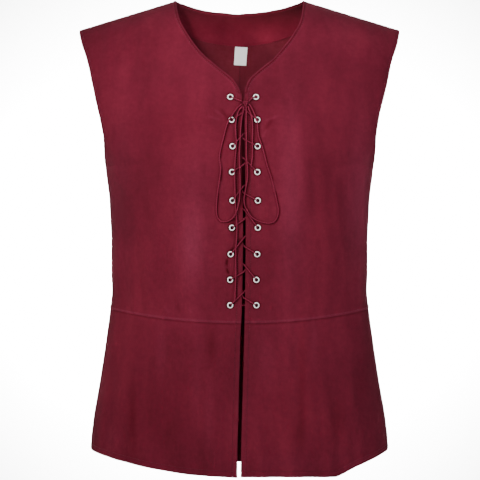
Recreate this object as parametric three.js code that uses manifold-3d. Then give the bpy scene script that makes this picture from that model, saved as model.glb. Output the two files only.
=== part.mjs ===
// A laced renaissance vest in faux suede, with the hollow form that it has when it is worn.
// Millimetres. The front faces -Y, +X is the wearer's left, +Z is up.
// The origin is the middle of the neck opening, level with the neck ends of the shoulder seams.
import * as THREE from 'three';
import { mergeVertices } from 'three/addons/utils/BufferGeometryUtils.js';
import Module from 'manifold-3d';

const clothThickness = 1.6;
const facingThickness = 1.0;
const seamGap = 0.3;
const facetAllowance = 0.5;
const facingAllowance = 1.1;

const neckHalfWidth = 95;
const backNeckDrop = 14.3;
const shoulderTip = { x: 239.5, z: -44 };
const shoulderRoll = 60;
const underarmZ = -249;
const scyeRise = 70;
const scyeTurnZ = underarmZ + scyeRise;
const neckRowZ = -160;
const waistZ = { centre: -480, side: -461 };
const hemSideZ = -670.5;
const sectionPower = 2.3;
const scyeShare = { front: 0.55, back: 0.52 };

// Half of the body's width at the side seam and, above the underarm, at the armhole's edge.
const halfWidths = [
  { z: 0, width: 239.5 },
  { z: -44, width: 239.5 },
  { z: -61.5, width: 236 },
  { z: -92.6, width: 226 },
  { z: -122.6, width: 219 },
  { z: -152, width: 212 },
  { z: -182, width: 205.5 },
  { z: -211, width: 201.7 },
  { z: -249, width: 200.5 },
  { z: -298.5, width: 195 },
  { z: -328.5, width: 193.5 },
  { z: -358.5, width: 192 },
  { z: -403.5, width: 192 },
  { z: -433.5, width: 191 },
  { z: -463.5, width: 194 },
  { z: -508.5, width: 200 },
  { z: -568.5, width: 209 },
  { z: -628.5, width: 219 },
  { z: -658.5, width: 222 },
  { z: -710, width: 223 },
];

// How far the middle of the front and of the back lies from the side seam's plane.
const depths = [
  { z: 0, front: 62, back: 78 },
  { z: -50, front: 72, back: 88 },
  { z: -100, front: 94, back: 105 },
  { z: -151, front: 114, back: 115 },
  { z: -200, front: 124, back: 118 },
  { z: -249, front: 127, back: 117 },
  { z: -330, front: 125, back: 111 },
  { z: -400, front: 121, back: 102 },
  { z: -480, front: 118, back: 97 },
  { z: -560, front: 124, back: 104 },
  { z: -640, front: 133, back: 114 },
  { z: -710, front: 141, back: 122 },
];

// The edge of each front, as x: the neckline down to the throat, then the slit down to the hem.
const frontEdges = [
  { z: 0, right: -95, left: 95 },
  { z: -18, right: -92, left: 93 },
  { z: -35, right: -87.5, left: 89.5 },
  { z: -58, right: -74.5, left: 77 },
  { z: -82, right: -57, left: 59 },
  { z: -99, right: -39, left: 42 },
  { z: -113.6, right: -21.4, left: 25 },
  { z: -124.4, right: -9, left: 14.5 },
  { z: -138.7, right: -0.1, left: 8.7 },
  { z: -151, right: 3.3, left: 6.8 },
  { z: -233, right: 3.0, left: 8.0 },
  { z: -347, right: 5.1, left: 9.0 },
  { z: -448, right: 3.6, left: 8.0 },
  { z: -506, right: 1.2, left: 6.5 },
  { z: -564, right: -0.4, left: 5.0 },
  { z: -621, right: -1.9, left: 3.3 },
  { z: -664, right: -2.9, left: 2.2 },
  { z: -710, right: -2.9, left: 1.4 },
];

// The hem's height across each half, from the centre (0) to the side seam (1).
const rightHem = [
  { across: 0, z: -701.9 },
  { across: 0.13, z: -700 },
  { across: 0.3, z: -697.9 },
  { across: 0.4, z: -695.2 },
  { across: 0.55, z: -690.4 },
  { across: 0.72, z: -683.6 },
  { across: 1, z: hemSideZ },
];
const leftHem = [
  { across: 0, z: -700.8 },
  { across: 0.26, z: -700.9 },
  { across: 0.4, z: -701.4 },
  { across: 0.53, z: -702.2 },
  { across: 0.62, z: -702.4 },
  { across: 0.68, z: -698 },
  { across: 0.72, z: -693.5 },
  { across: 1, z: hemSideZ },
];
const backHem = [
  { across: 0, z: -702 },
  { across: 0.3, z: -699.5 },
  { across: 0.62, z: -690.5 },
  { across: 1, z: hemSideZ },
];
const hems = { right: rightHem, left: leftHem, back: backHem };

// The largest folds: where each lies across the body, its half width and height at the hem,
// and the height of the garment where it begins and is full.
const frontFolds = [
  { across: -0.83, spread: 15, rise: 3.2, top: -500, full: -640 },
  { across: -0.61, spread: 17, rise: 4.5, top: -484, full: -670 },
  { across: -0.4, spread: 13, rise: 3.4, top: -520, full: -690 },
  { across: -0.17, spread: 16, rise: 4.2, top: -490, full: -680 },
  { across: 0.14, spread: 14, rise: 3.6, top: -505, full: -690 },
  { across: 0.34, spread: 17, rise: 4.8, top: -484, full: -660 },
  { across: 0.58, spread: 14, rise: 3.6, top: -515, full: -690 },
  { across: 0.79, spread: 17, rise: 3.8, top: -490, full: -650 },
];
const backFolds = [
  { across: -0.76, spread: 17, rise: 3.8, top: -492, full: -660 },
  { across: -0.5, spread: 15, rise: 4.6, top: -500, full: -690 },
  { across: -0.21, spread: 18, rise: 4.0, top: -486, full: -680 },
  { across: 0.07, spread: 13, rise: 3.2, top: -520, full: -690 },
  { across: 0.36, spread: 17, rise: 4.8, top: -488, full: -660 },
  { across: 0.64, spread: 15, rise: 3.8, top: -506, full: -690 },
  { across: 0.84, spread: 13, rise: 3.0, top: -500, full: -640 },
];

// The nine pairs of eyelets, and how far the lace has climbed where it enters the slit.
const eyeletRows = [
  { z: -150.7, right: -13.3, left: 23.9, climbRight: 0, climbLeft: 0 },
  { z: -184.3, right: -11.4, left: 25.9, climbRight: 11.5, climbLeft: 17.5 },
  { z: -222.8, right: -10.1, left: 26.1, climbRight: 17.5, climbLeft: 11.6 },
  { z: -260.2, right: -10.7, left: 25.9, climbRight: 11, climbLeft: 20.3 },
  { z: -301.4, right: -10.1, left: 26.5, climbRight: 21, climbLeft: 11 },
  { z: -340.7, right: -10.9, left: 26.5, climbRight: 12.6, climbLeft: 26 },
  { z: -379.1, right: -12.7, left: 25.6, climbRight: 24.5, climbLeft: 11.9 },
  { z: -416.3, right: -13.5, left: 24.5, climbRight: 12.5, climbLeft: 21.6 },
  { z: -453.2, right: -13.5, left: 24.5, climbRight: 18.9, climbLeft: 11.5 },
];
const eyeletSides = 8;
const eyeletHole = 2.5;
const eyeletBarrel = 2.9;
const eyeletFlange = 4.5;
const eyeletBackFlange = 4.3;
const eyeletCrown = 0.9;
const eyeletBackDepth = clothThickness + seamGap + 0.5;
const punchedHole = 3.25;

const laceRadius = 0.9;
const laceSides = 8;
const onCloth = seamGap + laceRadius;
const overEyelet = eyeletCrown + seamGap + laceRadius;
const overLace = onCloth + 2 * laceRadius + seamGap;
const overLaceAtEyelet = overEyelet + 2 * laceRadius + seamGap;
const behindCloth = -clothThickness - onCloth;
const behindEyelet = -eyeletBackDepth - seamGap - laceRadius;
const insideCloth = -clothThickness / 2;
const leaving = { near: 0.9, rim: 3.2, past: 6.4, nearOut: 1.5, pastOut: 1.6 };
const slitOverhang = 0.7;
const slitRise = 1.5;
const spanDrop = 0.4;
const rimClearance = 0.15;
const knot = { x: 8.7, z: -160, out: 3.6, halfWidth: 4.5, halfHeight: 3.8, halfDepth: 3 };

const label = { x: 1.8, z: -74.3, width: 18.9, height: 27.2, thickness: 1.0, tiltDegrees: -4 };
const facingReach = { side: 138, centreZ: -60 };

// The four free stretches of the lace, each hand laid: x and z on the front, out in front of it.
const loopRightRoute = [
  { x: 3.7, z: -161.2, out: 3.3 },
  { x: -2.2, z: -166, out: 3.5 },
  { x: -8, z: -173.6, out: overLace },
  { x: -13.6, z: -182.5, out: overLaceAtEyelet },
  { x: -17.8, z: -190.2, out: 2.2 },
  { x: -22.5, z: -207.6, out: onCloth },
  { x: -26.8, z: -225, out: onCloth },
  { x: -29, z: -239.5, out: onCloth },
  { x: -27.2, z: -255, out: onCloth },
  { x: -29, z: -271.4, out: onCloth },
  { x: -31.9, z: -291.8, out: onCloth },
  { x: -33.5, z: -312, out: onCloth },
  { x: -31.9, z: -325.1, out: onCloth },
  { x: -26.1, z: -331.6, out: onCloth },
  { x: -17.4, z: -331.4, out: 1.6 },
  { x: -9.4, z: -326.2, out: overLace },
  { x: -4.4, z: -317.1, out: 3.6 },
  { x: -0.7, z: -303.4, out: 2.6 },
  { x: 0.8, z: -287.4, out: overLace },
  { x: 1.0, z: -271.4, out: 2.6 },
  { x: 0.2, z: -251.1, out: overLace },
  { x: 0.2, z: -230.8, out: 2.6 },
  { x: 1.0, z: -208.5, out: overLace },
  { x: 2.6, z: -187.3, out: 3.0 },
  { x: 5.2, z: -172.6, out: 3.6 },
  { x: 6.6, z: -165.3, out: 3.8 },
];
const loopLeftRoute = [
  { x: 13.6, z: -161.2, out: 3.4 },
  { x: 16.9, z: -165.3, out: 3.6 },
  { x: 20.0, z: -172, out: 3.8 },
  { x: 23.2, z: -179.6, out: overLaceAtEyelet },
  { x: 25.6, z: -186.6, out: overLaceAtEyelet },
  { x: 26.4, z: -194.6, out: 2.0 },
  { x: 27.4, z: -206.2, out: onCloth },
  { x: 31.5, z: -219.2, out: overEyelet },
  { x: 35.2, z: -230.8, out: onCloth },
  { x: 38.9, z: -246.2, out: onCloth },
  { x: 42.8, z: -258.4, out: onCloth },
  { x: 46.9, z: -271.4, out: onCloth },
  { x: 50.9, z: -288.4, out: onCloth },
  { x: 54.4, z: -303.9, out: onCloth },
  { x: 56.3, z: -315, out: onCloth },
  { x: 54.8, z: -325.1, out: onCloth },
  { x: 50.1, z: -331.8, out: onCloth },
  { x: 42.5, z: -334.2, out: onCloth },
  { x: 33.4, z: -333, out: 1.6 },
  { x: 25.4, z: -330.2, out: overLace },
  { x: 17.4, z: -325, out: 3.6 },
  { x: 12.2, z: -317.6, out: overLace },
  { x: 7.6, z: -308.7, out: 3.6 },
  { x: 6.6, z: -299, out: 3.0 },
  { x: 7.9, z: -290.3, out: 3.8 },
  { x: 9.8, z: -279.5, out: 2.8 },
  { x: 11.6, z: -268.5, out: 2.6 },
  { x: 11.6, z: -254, out: 2.4 },
  { x: 10.6, z: -244, out: 3.7 },
  { x: 10.2, z: -230.8, out: 2.6 },
  { x: 9.9, z: -211.6, out: 3.7 },
  { x: 9.8, z: -192, out: 2.8 },
  { x: 9.8, z: -175, out: 3.7 },
  { x: 9.4, z: -164.6, out: 3.9 },
];
const endRightRoute = [
  { x: 4.9, z: -164.2, out: 3.5 },
  { x: -0.8, z: -170.6, out: overLace },
  { x: -3.9, z: -180, out: 3.5 },
  { x: -5.7, z: -193.1, out: 2.0 },
  { x: -5.2, z: -207.6, out: 2.6 },
  { x: -4.4, z: -216, out: 4.0 },
  { x: -5.2, z: -230, out: 2.0 },
  { x: -6.2, z: -242.4, out: 1.8 },
  { x: -6.6, z: -251.5, out: 3.7 },
  { x: -6.8, z: -258, out: 4.5 },
  { x: -6.9, z: -265, out: 2.8 },
  { x: -6.6, z: -280.1, out: 1.6 },
  { x: -6.2, z: -295, out: overLaceAtEyelet },
  { x: -6.0, z: -304, out: 1.9 },
  { x: -5.4, z: -316, out: onCloth },
  { x: -4.4, z: -326.6, out: 2.0 },
  { x: -3.8, z: -336, out: 4.1 },
  { x: -3.9, z: -350, out: 2.0 },
  { x: -4.6, z: -362, out: overLace },
  { x: -5.4, z: -372, out: overLace },
  { x: -5.4, z: -390.3, out: 1.6 },
  { x: -5.2, z: -404.8, out: 2.9 },
  { x: -5.4, z: -411.5, out: 3.8 },
  { x: -5.8, z: -424, out: 2.0 },
  { x: -6.2, z: -436, out: 2.6 },
  { x: -6.9, z: -446, out: 3.7 },
];
const endLeftRoute = [
  { x: 12.2, z: -164.4, out: 3.6 },
  { x: 14.4, z: -170.4, out: overLace },
  { x: 17.0, z: -177.1, out: 3.8 },
  { x: 18.7, z: -186, out: 2.4 },
  { x: 19.2, z: -199, out: 2.0 },
  { x: 18.8, z: -211, out: 3.3 },
  { x: 18.7, z: -218.5, out: 3.9 },
  { x: 18.9, z: -226, out: 3.0 },
  { x: 18.8, z: -237, out: 2.4 },
  { x: 17.8, z: -245.5, out: 3.8 },
  { x: 17.0, z: -253.5, out: 4.3 },
];

const suede = { color: '#7a2230', roughness: 0.9, metalness: 0 };
const suedeInside = { color: '#5e1a22', roughness: 0.95, metalness: 0 };
const laceCord = { color: '#7c2836', roughness: 0.85, metalness: 0 };
const nickel = { color: '#c9c7c6', roughness: 0.25, metalness: 1 };
const ribbon = { color: '#f1efec', roughness: 0.8, metalness: 0 };

const vest = new THREE.Group();
const wasm = await Module();
wasm.setup();

const clamp = (value, low, high) => Math.min(Math.max(value, low), high);
const mix = (from, to, share) => from + (to - from) * share;
const radians = (degrees) => degrees * Math.PI / 180;

function smoothStep(value) {
  const share = clamp(value, 0, 1);
  return share * share * (3 - 2 * share);
}

// A smooth value between the rows of a table whose key column runs one way.
function lookUp(table, key, at, column) {
  const rising = table[1][key] > table[0][key];
  let low = 0;
  while (low < table.length - 2 && (rising ? at > table[low + 1][key] : at < table[low + 1][key])) {
    low += 1;
  }
  const slope = (from, to) => (table[to][column] - table[from][column]) / (table[to][key] - table[from][key]);
  const bend = (row) => {
    if (row === 0 || row === table.length - 1) {
      return row === 0 ? slope(0, 1) : slope(row - 1, row);
    }
    const before = slope(row - 1, row);
    const after = slope(row, row + 1);
    return before * after <= 0 ? 0 : 2 * before * after / (before + after);
  };
  const span = table[low + 1][key] - table[low][key];
  const share = clamp((at - table[low][key]) / span, 0, 1);
  const square = share * share;
  const cube = square * share;
  return table[low][column] * (2 * cube - 3 * square + 1)
    + table[low + 1][column] * (3 * square - 2 * cube)
    + bend(low) * span * (cube - 2 * square + share)
    + bend(low + 1) * span * (cube - square);
}

const ridgeZ = (x) => {
  const past = Math.max(Math.abs(x) - neckHalfWidth, 0);
  return shoulderTip.z * past / (shoulderTip.x - neckHalfWidth);
};

const edgeHalfWidth = (z) => lookUp(halfWidths, 'z', z, 'width');

// The section's own half width: above the underarm the armhole cuts it short.
function sectionHalfWidth(side, z) {
  const up = clamp((z - underarmZ) / scyeRise, 0, 1);
  const share = scyeShare[side] * Math.sqrt(1 - (1 - up) ** 2);
  return edgeHalfWidth(z) / (1 - share ** sectionPower) ** (1 / sectionPower);
}

function foldHeight(side, x, z) {
  const across = x / edgeHalfWidth(z);
  let height = 0;
  for (const fold of side === 'front' ? frontFolds : backFolds) {
    const grown = smoothStep((fold.top - z) / (fold.top - fold.full));
    const away = (across - fold.across) * edgeHalfWidth(z) / (fold.spread * mix(0.6, 1, grown));
    height += fold.rise * grown * Math.exp(-away * away);
  }
  return height;
}

// How far in front of, or behind, the side seam's plane the cloth's outer face lies.
function clothDepth(side, x, z) {
  const centre = lookUp(depths, 'z', z, side);
  const across = Math.min(Math.abs(x) / sectionHalfWidth(side, z), 1);
  const section = (1 - across ** sectionPower) ** (1 / sectionPower);
  const down = clamp((ridgeZ(x) - z) / shoulderRoll, 0, 1);
  const roll = Math.sqrt(1 - (1 - down) ** 2);
  return (centre + foldHeight(side, x, z)) * section * roll;
}

const facing = { front: -1, back: 1 };

function clothPoint(side, x, z) {
  return new THREE.Vector3(x, facing[side] * (clothDepth(side, x, z) + seamGap / 2), z);
}

// The outward normal, from small steps towards the centre and down. The depth is squared
// because its square stays smooth where the cloth turns edge on at a seam.
function clothNormal(side, x, z) {
  const step = 0.05;
  const inward = x > 0 ? -step : step;
  const here = clothDepth(side, x, z);
  const slopeX = (clothDepth(side, x + inward, z) ** 2 - here ** 2) / inward;
  const slopeZ = (here ** 2 - clothDepth(side, x, z - step) ** 2) / step;
  return new THREE.Vector3(-slopeX, facing[side] * 2 * here, -slopeZ).normalize();
}

// A closed wall between an outer and an inner layer of the same grid.
function wallGeometry(outer, inner) {
  const rows = outer.length;
  const columns = outer[0].length;
  const positions = [];
  for (const layer of [outer, inner]) {
    for (const row of layer) {
      for (const point of row) {
        positions.push(point.x, point.y, point.z);
      }
    }
  }
  const vertex = (layer, row, column) => (layer * rows + row) * columns + column;
  const triangles = [];
  const addQuad = (a, b, c, d) => triangles.push([a, b, c], [a, c, d]);
  for (let row = 0; row < rows - 1; row += 1) {
    for (let column = 0; column < columns - 1; column += 1) {
      addQuad(vertex(0, row, column), vertex(0, row, column + 1),
        vertex(0, row + 1, column + 1), vertex(0, row + 1, column));
      addQuad(vertex(1, row, column), vertex(1, row + 1, column),
        vertex(1, row + 1, column + 1), vertex(1, row, column + 1));
    }
  }
  for (let column = 0; column < columns - 1; column += 1) {
    addQuad(vertex(0, 0, column), vertex(1, 0, column), vertex(1, 0, column + 1), vertex(0, 0, column + 1));
    addQuad(vertex(0, rows - 1, column + 1), vertex(1, rows - 1, column + 1),
      vertex(1, rows - 1, column), vertex(0, rows - 1, column));
  }
  for (let row = 0; row < rows - 1; row += 1) {
    addQuad(vertex(0, row + 1, 0), vertex(1, row + 1, 0), vertex(1, row, 0), vertex(0, row, 0));
    addQuad(vertex(0, row, columns - 1), vertex(1, row, columns - 1),
      vertex(1, row + 1, columns - 1), vertex(0, row + 1, columns - 1));
  }
  const geometry = new THREE.BufferGeometry();
  geometry.setAttribute('position', new THREE.Float32BufferAttribute(positions, 3));
  geometry.setIndex(triangles.flat());
  return faceOutwards(geometry);
}

// Turns every face round where the closed surface encloses a negative volume.
function faceOutwards(geometry) {
  const position = geometry.attributes.position;
  const index = geometry.index.array;
  const corner = (at) => new THREE.Vector3().fromBufferAttribute(position, index[at]);
  let volume = 0;
  for (let at = 0; at < index.length; at += 3) {
    volume += corner(at).dot(corner(at + 1).cross(corner(at + 2)));
  }
  if (volume < 0) {
    for (let at = 0; at < index.length; at += 3) {
      [index[at], index[at + 1]] = [index[at + 1], index[at]];
    }
  }
  geometry.computeVertexNormals();
  return geometry;
}

// The two layers of a panel, from a function that gives x and z for each row and column.
function panelLayers(side, rows, columns, placeAt, thickness, inset) {
  const outer = [];
  const inner = [];
  for (let row = 0; row <= rows; row += 1) {
    const outerRow = [];
    const innerRow = [];
    for (let column = 0; column <= columns; column += 1) {
      const place = placeAt(row, column);
      const normal = clothNormal(side, place.x, place.z);
      if (place.onSeamPlane) {
        normal.setY(0).normalize();
      }
      const point = clothPoint(side, place.x, place.z);
      outerRow.push(point.clone().addScaledVector(normal, -inset));
      innerRow.push(point.clone().addScaledVector(normal, -inset - thickness));
    }
    outer.push(outerRow);
    inner.push(innerRow);
  }
  return { outer, inner };
}

const wall = (layers) => wallGeometry(layers.outer, layers.inner);

function addMesh(name, geometry, finish) {
  const mesh = new THREE.Mesh(geometry, new THREE.MeshStandardMaterial(finish));
  mesh.name = name;
  vest.add(mesh);
  return mesh;
}

// Columns stand closer together towards the side seam, where the body turns away.
const frontColumns = 10;
const sideSpacing = (column, columns) => Math.sin(radians(90) * column / columns);

// The back's columns also crowd at the neck's ends, where its neckline turns over the shoulder.
const backNeckColumns = 6;
const backSideColumns = 8;
const backColumns = backNeckColumns + backSideColumns;
const neckShare = neckHalfWidth / shoulderTip.x;
function backSpacing(column) {
  if (column <= backNeckColumns) {
    return neckShare * Math.sin(radians(90) * column / backNeckColumns);
  }
  const from = Math.asin(neckShare);
  return Math.sin(mix(from, radians(90), (column - backNeckColumns) / backSideColumns));
}

// The rows of a bodice panel: waist to underarm, the scye's round foot, then up to the shoulder.
function bodiceRow(row, plan, topZ) {
  const { sideRows, scyeRows, shoulderRows } = plan;
  if (row <= sideRows) {
    const share = row / sideRows;
    return {
      inner: mix(waistZ.centre + seamGap / 2, underarmZ, share),
      outer: mix(waistZ.side + seamGap / 2, underarmZ, share),
      bend: mix(2, 1, share),
      top: 0,
      onSide: true,
    };
  }
  if (row <= sideRows + scyeRows) {
    const share = (row - sideRows) / scyeRows;
    return {
      inner: mix(underarmZ, neckRowZ, share),
      outer: underarmZ + scyeRise * (1 - Math.cos(radians(90) * share)),
      bend: 1,
      top: 0,
      onSide: false,
    };
  }
  const turn = radians(90) * (1 - (row - sideRows - scyeRows) / shoulderRows);
  return {
    inner: mix(topZ, neckRowZ, 1 - Math.cos(turn)),
    outer: mix(shoulderTip.z, scyeTurnZ, 1 - Math.cos(turn)),
    bend: 1,
    top: Math.cos(turn),
    onSide: false,
  };
}

const countRows = (plan) => plan.sideRows + plan.scyeRows + plan.shoulderRows;
const frontPlan = { sideRows: 7, scyeRows: 4, shoulderRows: 9 };
const backPlan = { sideRows: 5, scyeRows: 4, shoulderRows: 8 };
const signs = { right: -1, left: 1 };

function frontBodiceLayers(hand) {
  const rows = countRows(frontPlan);
  const placeAt = (row, column) => {
    const level = bodiceRow(row, frontPlan, 0);
    const across = sideSpacing(column, frontColumns);
    const innerX = lookUp(frontEdges, 'z', level.inner, hand);
    const outerX = signs[hand] * edgeHalfWidth(level.outer);
    return {
      x: mix(innerX, outerX, across),
      z: mix(level.inner, level.outer, across ** level.bend),
      onSeamPlane: row === rows || (level.onSide && column === frontColumns),
    };
  };
  return panelLayers('front', rows, frontColumns, placeAt, clothThickness, 0);
}

const backNeckZ = (x) => -backNeckDrop * (1 - (x / neckHalfWidth) ** 2);

function backBodiceLayers(hand) {
  const rows = countRows(backPlan);
  const topEdge = (x) => Math.abs(x) < neckHalfWidth ? backNeckZ(x) : ridgeZ(x);
  const placeAt = (row, column) => {
    const level = bodiceRow(row, backPlan, -backNeckDrop);
    const across = backSpacing(column);
    const halfWidth = edgeHalfWidth(level.outer) - seamGap / 2;
    const x = signs[hand] * (seamGap / 2 + halfWidth * across);
    const topX = signs[hand] * (seamGap / 2 + (shoulderTip.x - seamGap / 2) * across);
    const lift = topEdge(topX) - mix(-backNeckDrop, shoulderTip.z, across);
    return {
      x,
      z: mix(level.inner, level.outer, across ** level.bend) + level.top * lift,
      onSeamPlane: (row === rows && column >= backNeckColumns) || (level.onSide && column === backColumns),
    };
  };
  return panelLayers('back', rows, backColumns, placeAt, clothThickness, 0);
}

const skirtRows = 7;
const waistLine = (across) => mix(waistZ.centre, waistZ.side, across ** 2) - seamGap / 2;

function frontSkirtLayers(hand) {
  const columns = 2 * frontColumns;
  const placeAt = (row, column) => {
    const across = sideSpacing(column, columns);
    const z = mix(waistLine(across), lookUp(hems[hand], 'across', across, 'z'), row / skirtRows);
    const innerX = lookUp(frontEdges, 'z', z, hand);
    const outerX = signs[hand] * edgeHalfWidth(z);
    return { x: mix(innerX, outerX, across), z, onSeamPlane: column === columns };
  };
  return panelLayers('front', skirtRows, columns, placeAt, clothThickness, 0);
}

function backSkirtLayers() {
  const half = 18;
  const placeAt = (row, column) => {
    const across = sideSpacing(Math.abs(column - half), half);
    const z = mix(waistLine(across), lookUp(hems.back, 'across', across, 'z'), row / skirtRows);
    return {
      x: Math.sign(column - half) * across * edgeHalfWidth(z),
      z,
      onSeamPlane: Math.abs(column - half) === half,
    };
  };
  return panelLayers('back', skirtRows, 2 * half, placeAt, clothThickness, 0);
}

// The neck facing lies against the back's inner face, from the neckline to its own lower edge.
function facingLayers() {
  const rows = 4;
  const half = 9;
  const inset = clothThickness + seamGap + facingAllowance;
  const placeAt = (row, column) => {
    const turn = radians(88) * (column - half) / half;
    const share = Math.sin(turn);
    const upper = { x: neckHalfWidth * share, z: backNeckZ(neckHalfWidth * share) - facetAllowance };
    const lowerX = facingReach.side * share;
    const lower = { x: lowerX, z: mix(facingReach.centreZ, ridgeZ(facingReach.side), share ** 2) };
    return {
      x: mix(lower.x, upper.x, row / rows),
      z: mix(lower.z, upper.z, row / rows),
      onSeamPlane: false,
    };
  };
  return panelLayers('back', rows, 2 * half, placeAt, facingThickness, inset);
}

function labelLayers() {
  const rows = 3;
  const columns = 2;
  const tilt = radians(label.tiltDegrees);
  const inset = clothThickness + seamGap + facetAllowance;
  const placeAt = (row, column) => {
    const acrossLabel = label.width * (column / columns - 0.5);
    const alongLabel = label.height * (row / rows - 0.5);
    return {
      x: label.x + acrossLabel * Math.cos(tilt) - alongLabel * Math.sin(tilt),
      z: label.z + acrossLabel * Math.sin(tilt) + alongLabel * Math.cos(tilt),
      onSeamPlane: false,
    };
  };
  return panelLayers('back', rows, columns, placeAt, label.thickness, inset);
}

// The y of a panel's flat facets straight behind x and z, or of its nearest edge in the slit.
function facetY(layers, x, z) {
  const rows = layers.outer.length;
  const columns = layers.outer[0].length;
  let best = { miss: Infinity, y: 0 };
  const tryTriangle = (a, b, c) => {
    const area = (b.x - a.x) * (c.z - a.z) - (c.x - a.x) * (b.z - a.z);
    const shareB = ((x - a.x) * (c.z - a.z) - (c.x - a.x) * (z - a.z)) / area;
    const shareC = ((b.x - a.x) * (z - a.z) - (x - a.x) * (b.z - a.z)) / area;
    const miss = Math.max(-shareB, -shareC, shareB + shareC - 1, 0);
    if (miss < best.miss) {
      best = { miss, y: a.y + shareB * (b.y - a.y) + shareC * (c.y - a.y) };
    }
  };
  for (let row = 0; row < rows - 1; row += 1) {
    for (let column = 0; column < Math.min(columns - 1, 5); column += 1) {
      const [a, b] = [layers.outer[row][column], layers.outer[row][column + 1]];
      const [c, d] = [layers.outer[row + 1][column + 1], layers.outer[row + 1][column]];
      tryTriangle(a, b, c);
      tryTriangle(a, c, d);
    }
  }
  return best.y;
}

const frontBodice = { right: frontBodiceLayers('right'), left: frontBodiceLayers('left') };
const slitMiddle = (z) => (lookUp(frontEdges, 'z', z, 'right') + lookUp(frontEdges, 'z', z, 'left')) / 2;
const frontY = (x, z) => facetY(x < slitMiddle(z) ? frontBodice.right : frontBodice.left, x, z);

// The frame of one eyelet: its centre on the cloth's face and the way that its axis points.
function eyeletFrame(hand, row) {
  const reach = eyeletFlange;
  const x = eyeletRows[row][hand];
  const z = eyeletRows[row].z;
  const at = (dx, dz) => new THREE.Vector3(x + dx, frontY(x + dx, z + dz), z + dz);
  const acrossWay = at(reach, 0).sub(at(-reach, 0));
  const upWay = at(0, reach).sub(at(0, -reach));
  const axis = acrossWay.cross(upWay).normalize();
  const turn = new THREE.Quaternion().setFromUnitVectors(new THREE.Vector3(0, 1, 0), axis);
  return { centre: at(0, 0), turn };
}

function eyeletGeometry() {
  const profile = [
    [eyeletHole, eyeletCrown],
    [eyeletHole, -eyeletBackDepth],
    [eyeletBackFlange, -clothThickness - seamGap],
    [eyeletBarrel, -clothThickness - seamGap],
    [eyeletBarrel, seamGap],
    [eyeletFlange, seamGap],
    [eyeletFlange - 0.6, eyeletCrown],
    [eyeletHole, eyeletCrown],
  ];
  return new THREE.LatheGeometry(profile.map(([radius, out]) => new THREE.Vector2(radius, out)), eyeletSides);
}

function toSolid(geometry) {
  const bare = geometry.clone();
  bare.deleteAttribute('normal');
  if (bare.attributes.uv) {
    bare.deleteAttribute('uv');
  }
  const merged = mergeVertices(bare, 1e-4);
  return new wasm.Manifold(new wasm.Mesh({
    numProp: 3,
    vertProperties: new Float32Array(merged.attributes.position.array),
    triVerts: new Uint32Array(merged.index.array),
  }));
}

function toGeometry(solid) {
  const mesh = solid.getMesh();
  const geometry = new THREE.BufferGeometry();
  geometry.setAttribute('position', new THREE.Float32BufferAttribute(mesh.vertProperties, 3));
  geometry.setIndex(new THREE.Uint32BufferAttribute(mesh.triVerts, 1));
  geometry.computeVertexNormals();
  return geometry;
}

// A front with its nine eyelet holes punched along the eyelets' own axes.
function punchedFront(hand) {
  let solid = toSolid(wall(frontBodice[hand]));
  for (let row = 0; row < eyeletRows.length; row += 1) {
    const frame = eyeletFrame(hand, row);
    const punch = new THREE.CylinderGeometry(punchedHole, punchedHole, 8, eyeletSides);
    punch.applyQuaternion(frame.turn);
    punch.translate(frame.centre.x, frame.centre.y, frame.centre.z);
    solid = solid.subtract(toSolid(punch));
  }
  return toGeometry(solid);
}

// A route whose steps fall on its own points, so that tight turns keep enough of them.
class LaceRoute extends THREE.CatmullRomCurve3 {
  getPointAt(share, target) {
    return this.getPoint(share, target);
  }

  getTangentAt(share, target) {
    return this.getTangent(share, target);
  }
}

function laceGeometry(route, stepsBetweenPoints) {
  const points = route.map(({ x, z, out }) => new THREE.Vector3(x, frontY(x, z) - out, z));
  const section = new THREE.Shape();
  for (let side = 0; side < laceSides; side += 1) {
    const turn = 2 * Math.PI * side / laceSides;
    const corner = [laceRadius * Math.cos(turn), laceRadius * Math.sin(turn)];
    if (side === 0) {
      section.moveTo(...corner);
    } else {
      section.lineTo(...corner);
    }
  }
  section.closePath();
  return new THREE.ExtrudeGeometry(section, {
    steps: (points.length - 1) * stepsBetweenPoints,
    bevelEnabled: false,
    extrudePath: new LaceRoute(points, false, 'catmullrom', 0.5),
  });
}

// The lace comes out of an eyelet, climbs to the slit, dives under the other front,
// and comes up behind the next eyelet on that side.
function climb(row, hand) {
  const otherHand = hand === 'right' ? 'left' : 'right';
  const from = { x: eyeletRows[row][hand], z: eyeletRows[row].z };
  const to = { x: eyeletRows[row - 1][otherHand], z: eyeletRows[row - 1].z };
  const rise = hand === 'right' ? eyeletRows[row].climbRight : eyeletRows[row].climbLeft;
  const slitZ = from.z + rise;
  const towards = -signs[hand];
  const nearEdge = lookUp(frontEdges, 'z', slitZ, hand);
  const farEdge = lookUp(frontEdges, 'z', slitZ, otherHand);
  const between = (start, end, distance, out) => {
    const length = Math.hypot(end.x - start.x, end.z - start.z);
    const share = distance / length;
    return { x: mix(start.x, end.x, share), z: mix(start.z, end.z, share), out };
  };
  const slitStart = { x: nearEdge + towards * slitOverhang, z: slitZ - slitRise };
  const slitEnd = { x: farEdge - towards * slitOverhang, z: slitZ + slitRise };
  return [
    { x: from.x, z: from.z, out: insideCloth },
    between(from, slitStart, leaving.near, leaving.nearOut),
    between(from, slitStart, leaving.rim, overEyelet + rimClearance),
    between(from, slitStart, leaving.past, leaving.pastOut),
    { ...slitStart, out: onCloth },
    { x: (nearEdge + farEdge) / 2, z: slitZ, out: insideCloth },
    { ...slitEnd, out: behindCloth },
    between(to, slitEnd, leaving.past, behindCloth - spanDrop),
    between(to, slitEnd, leaving.rim, behindEyelet - rimClearance),
    between(to, slitEnd, leaving.near, -clothThickness - leaving.nearOut),
  ];
}

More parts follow.
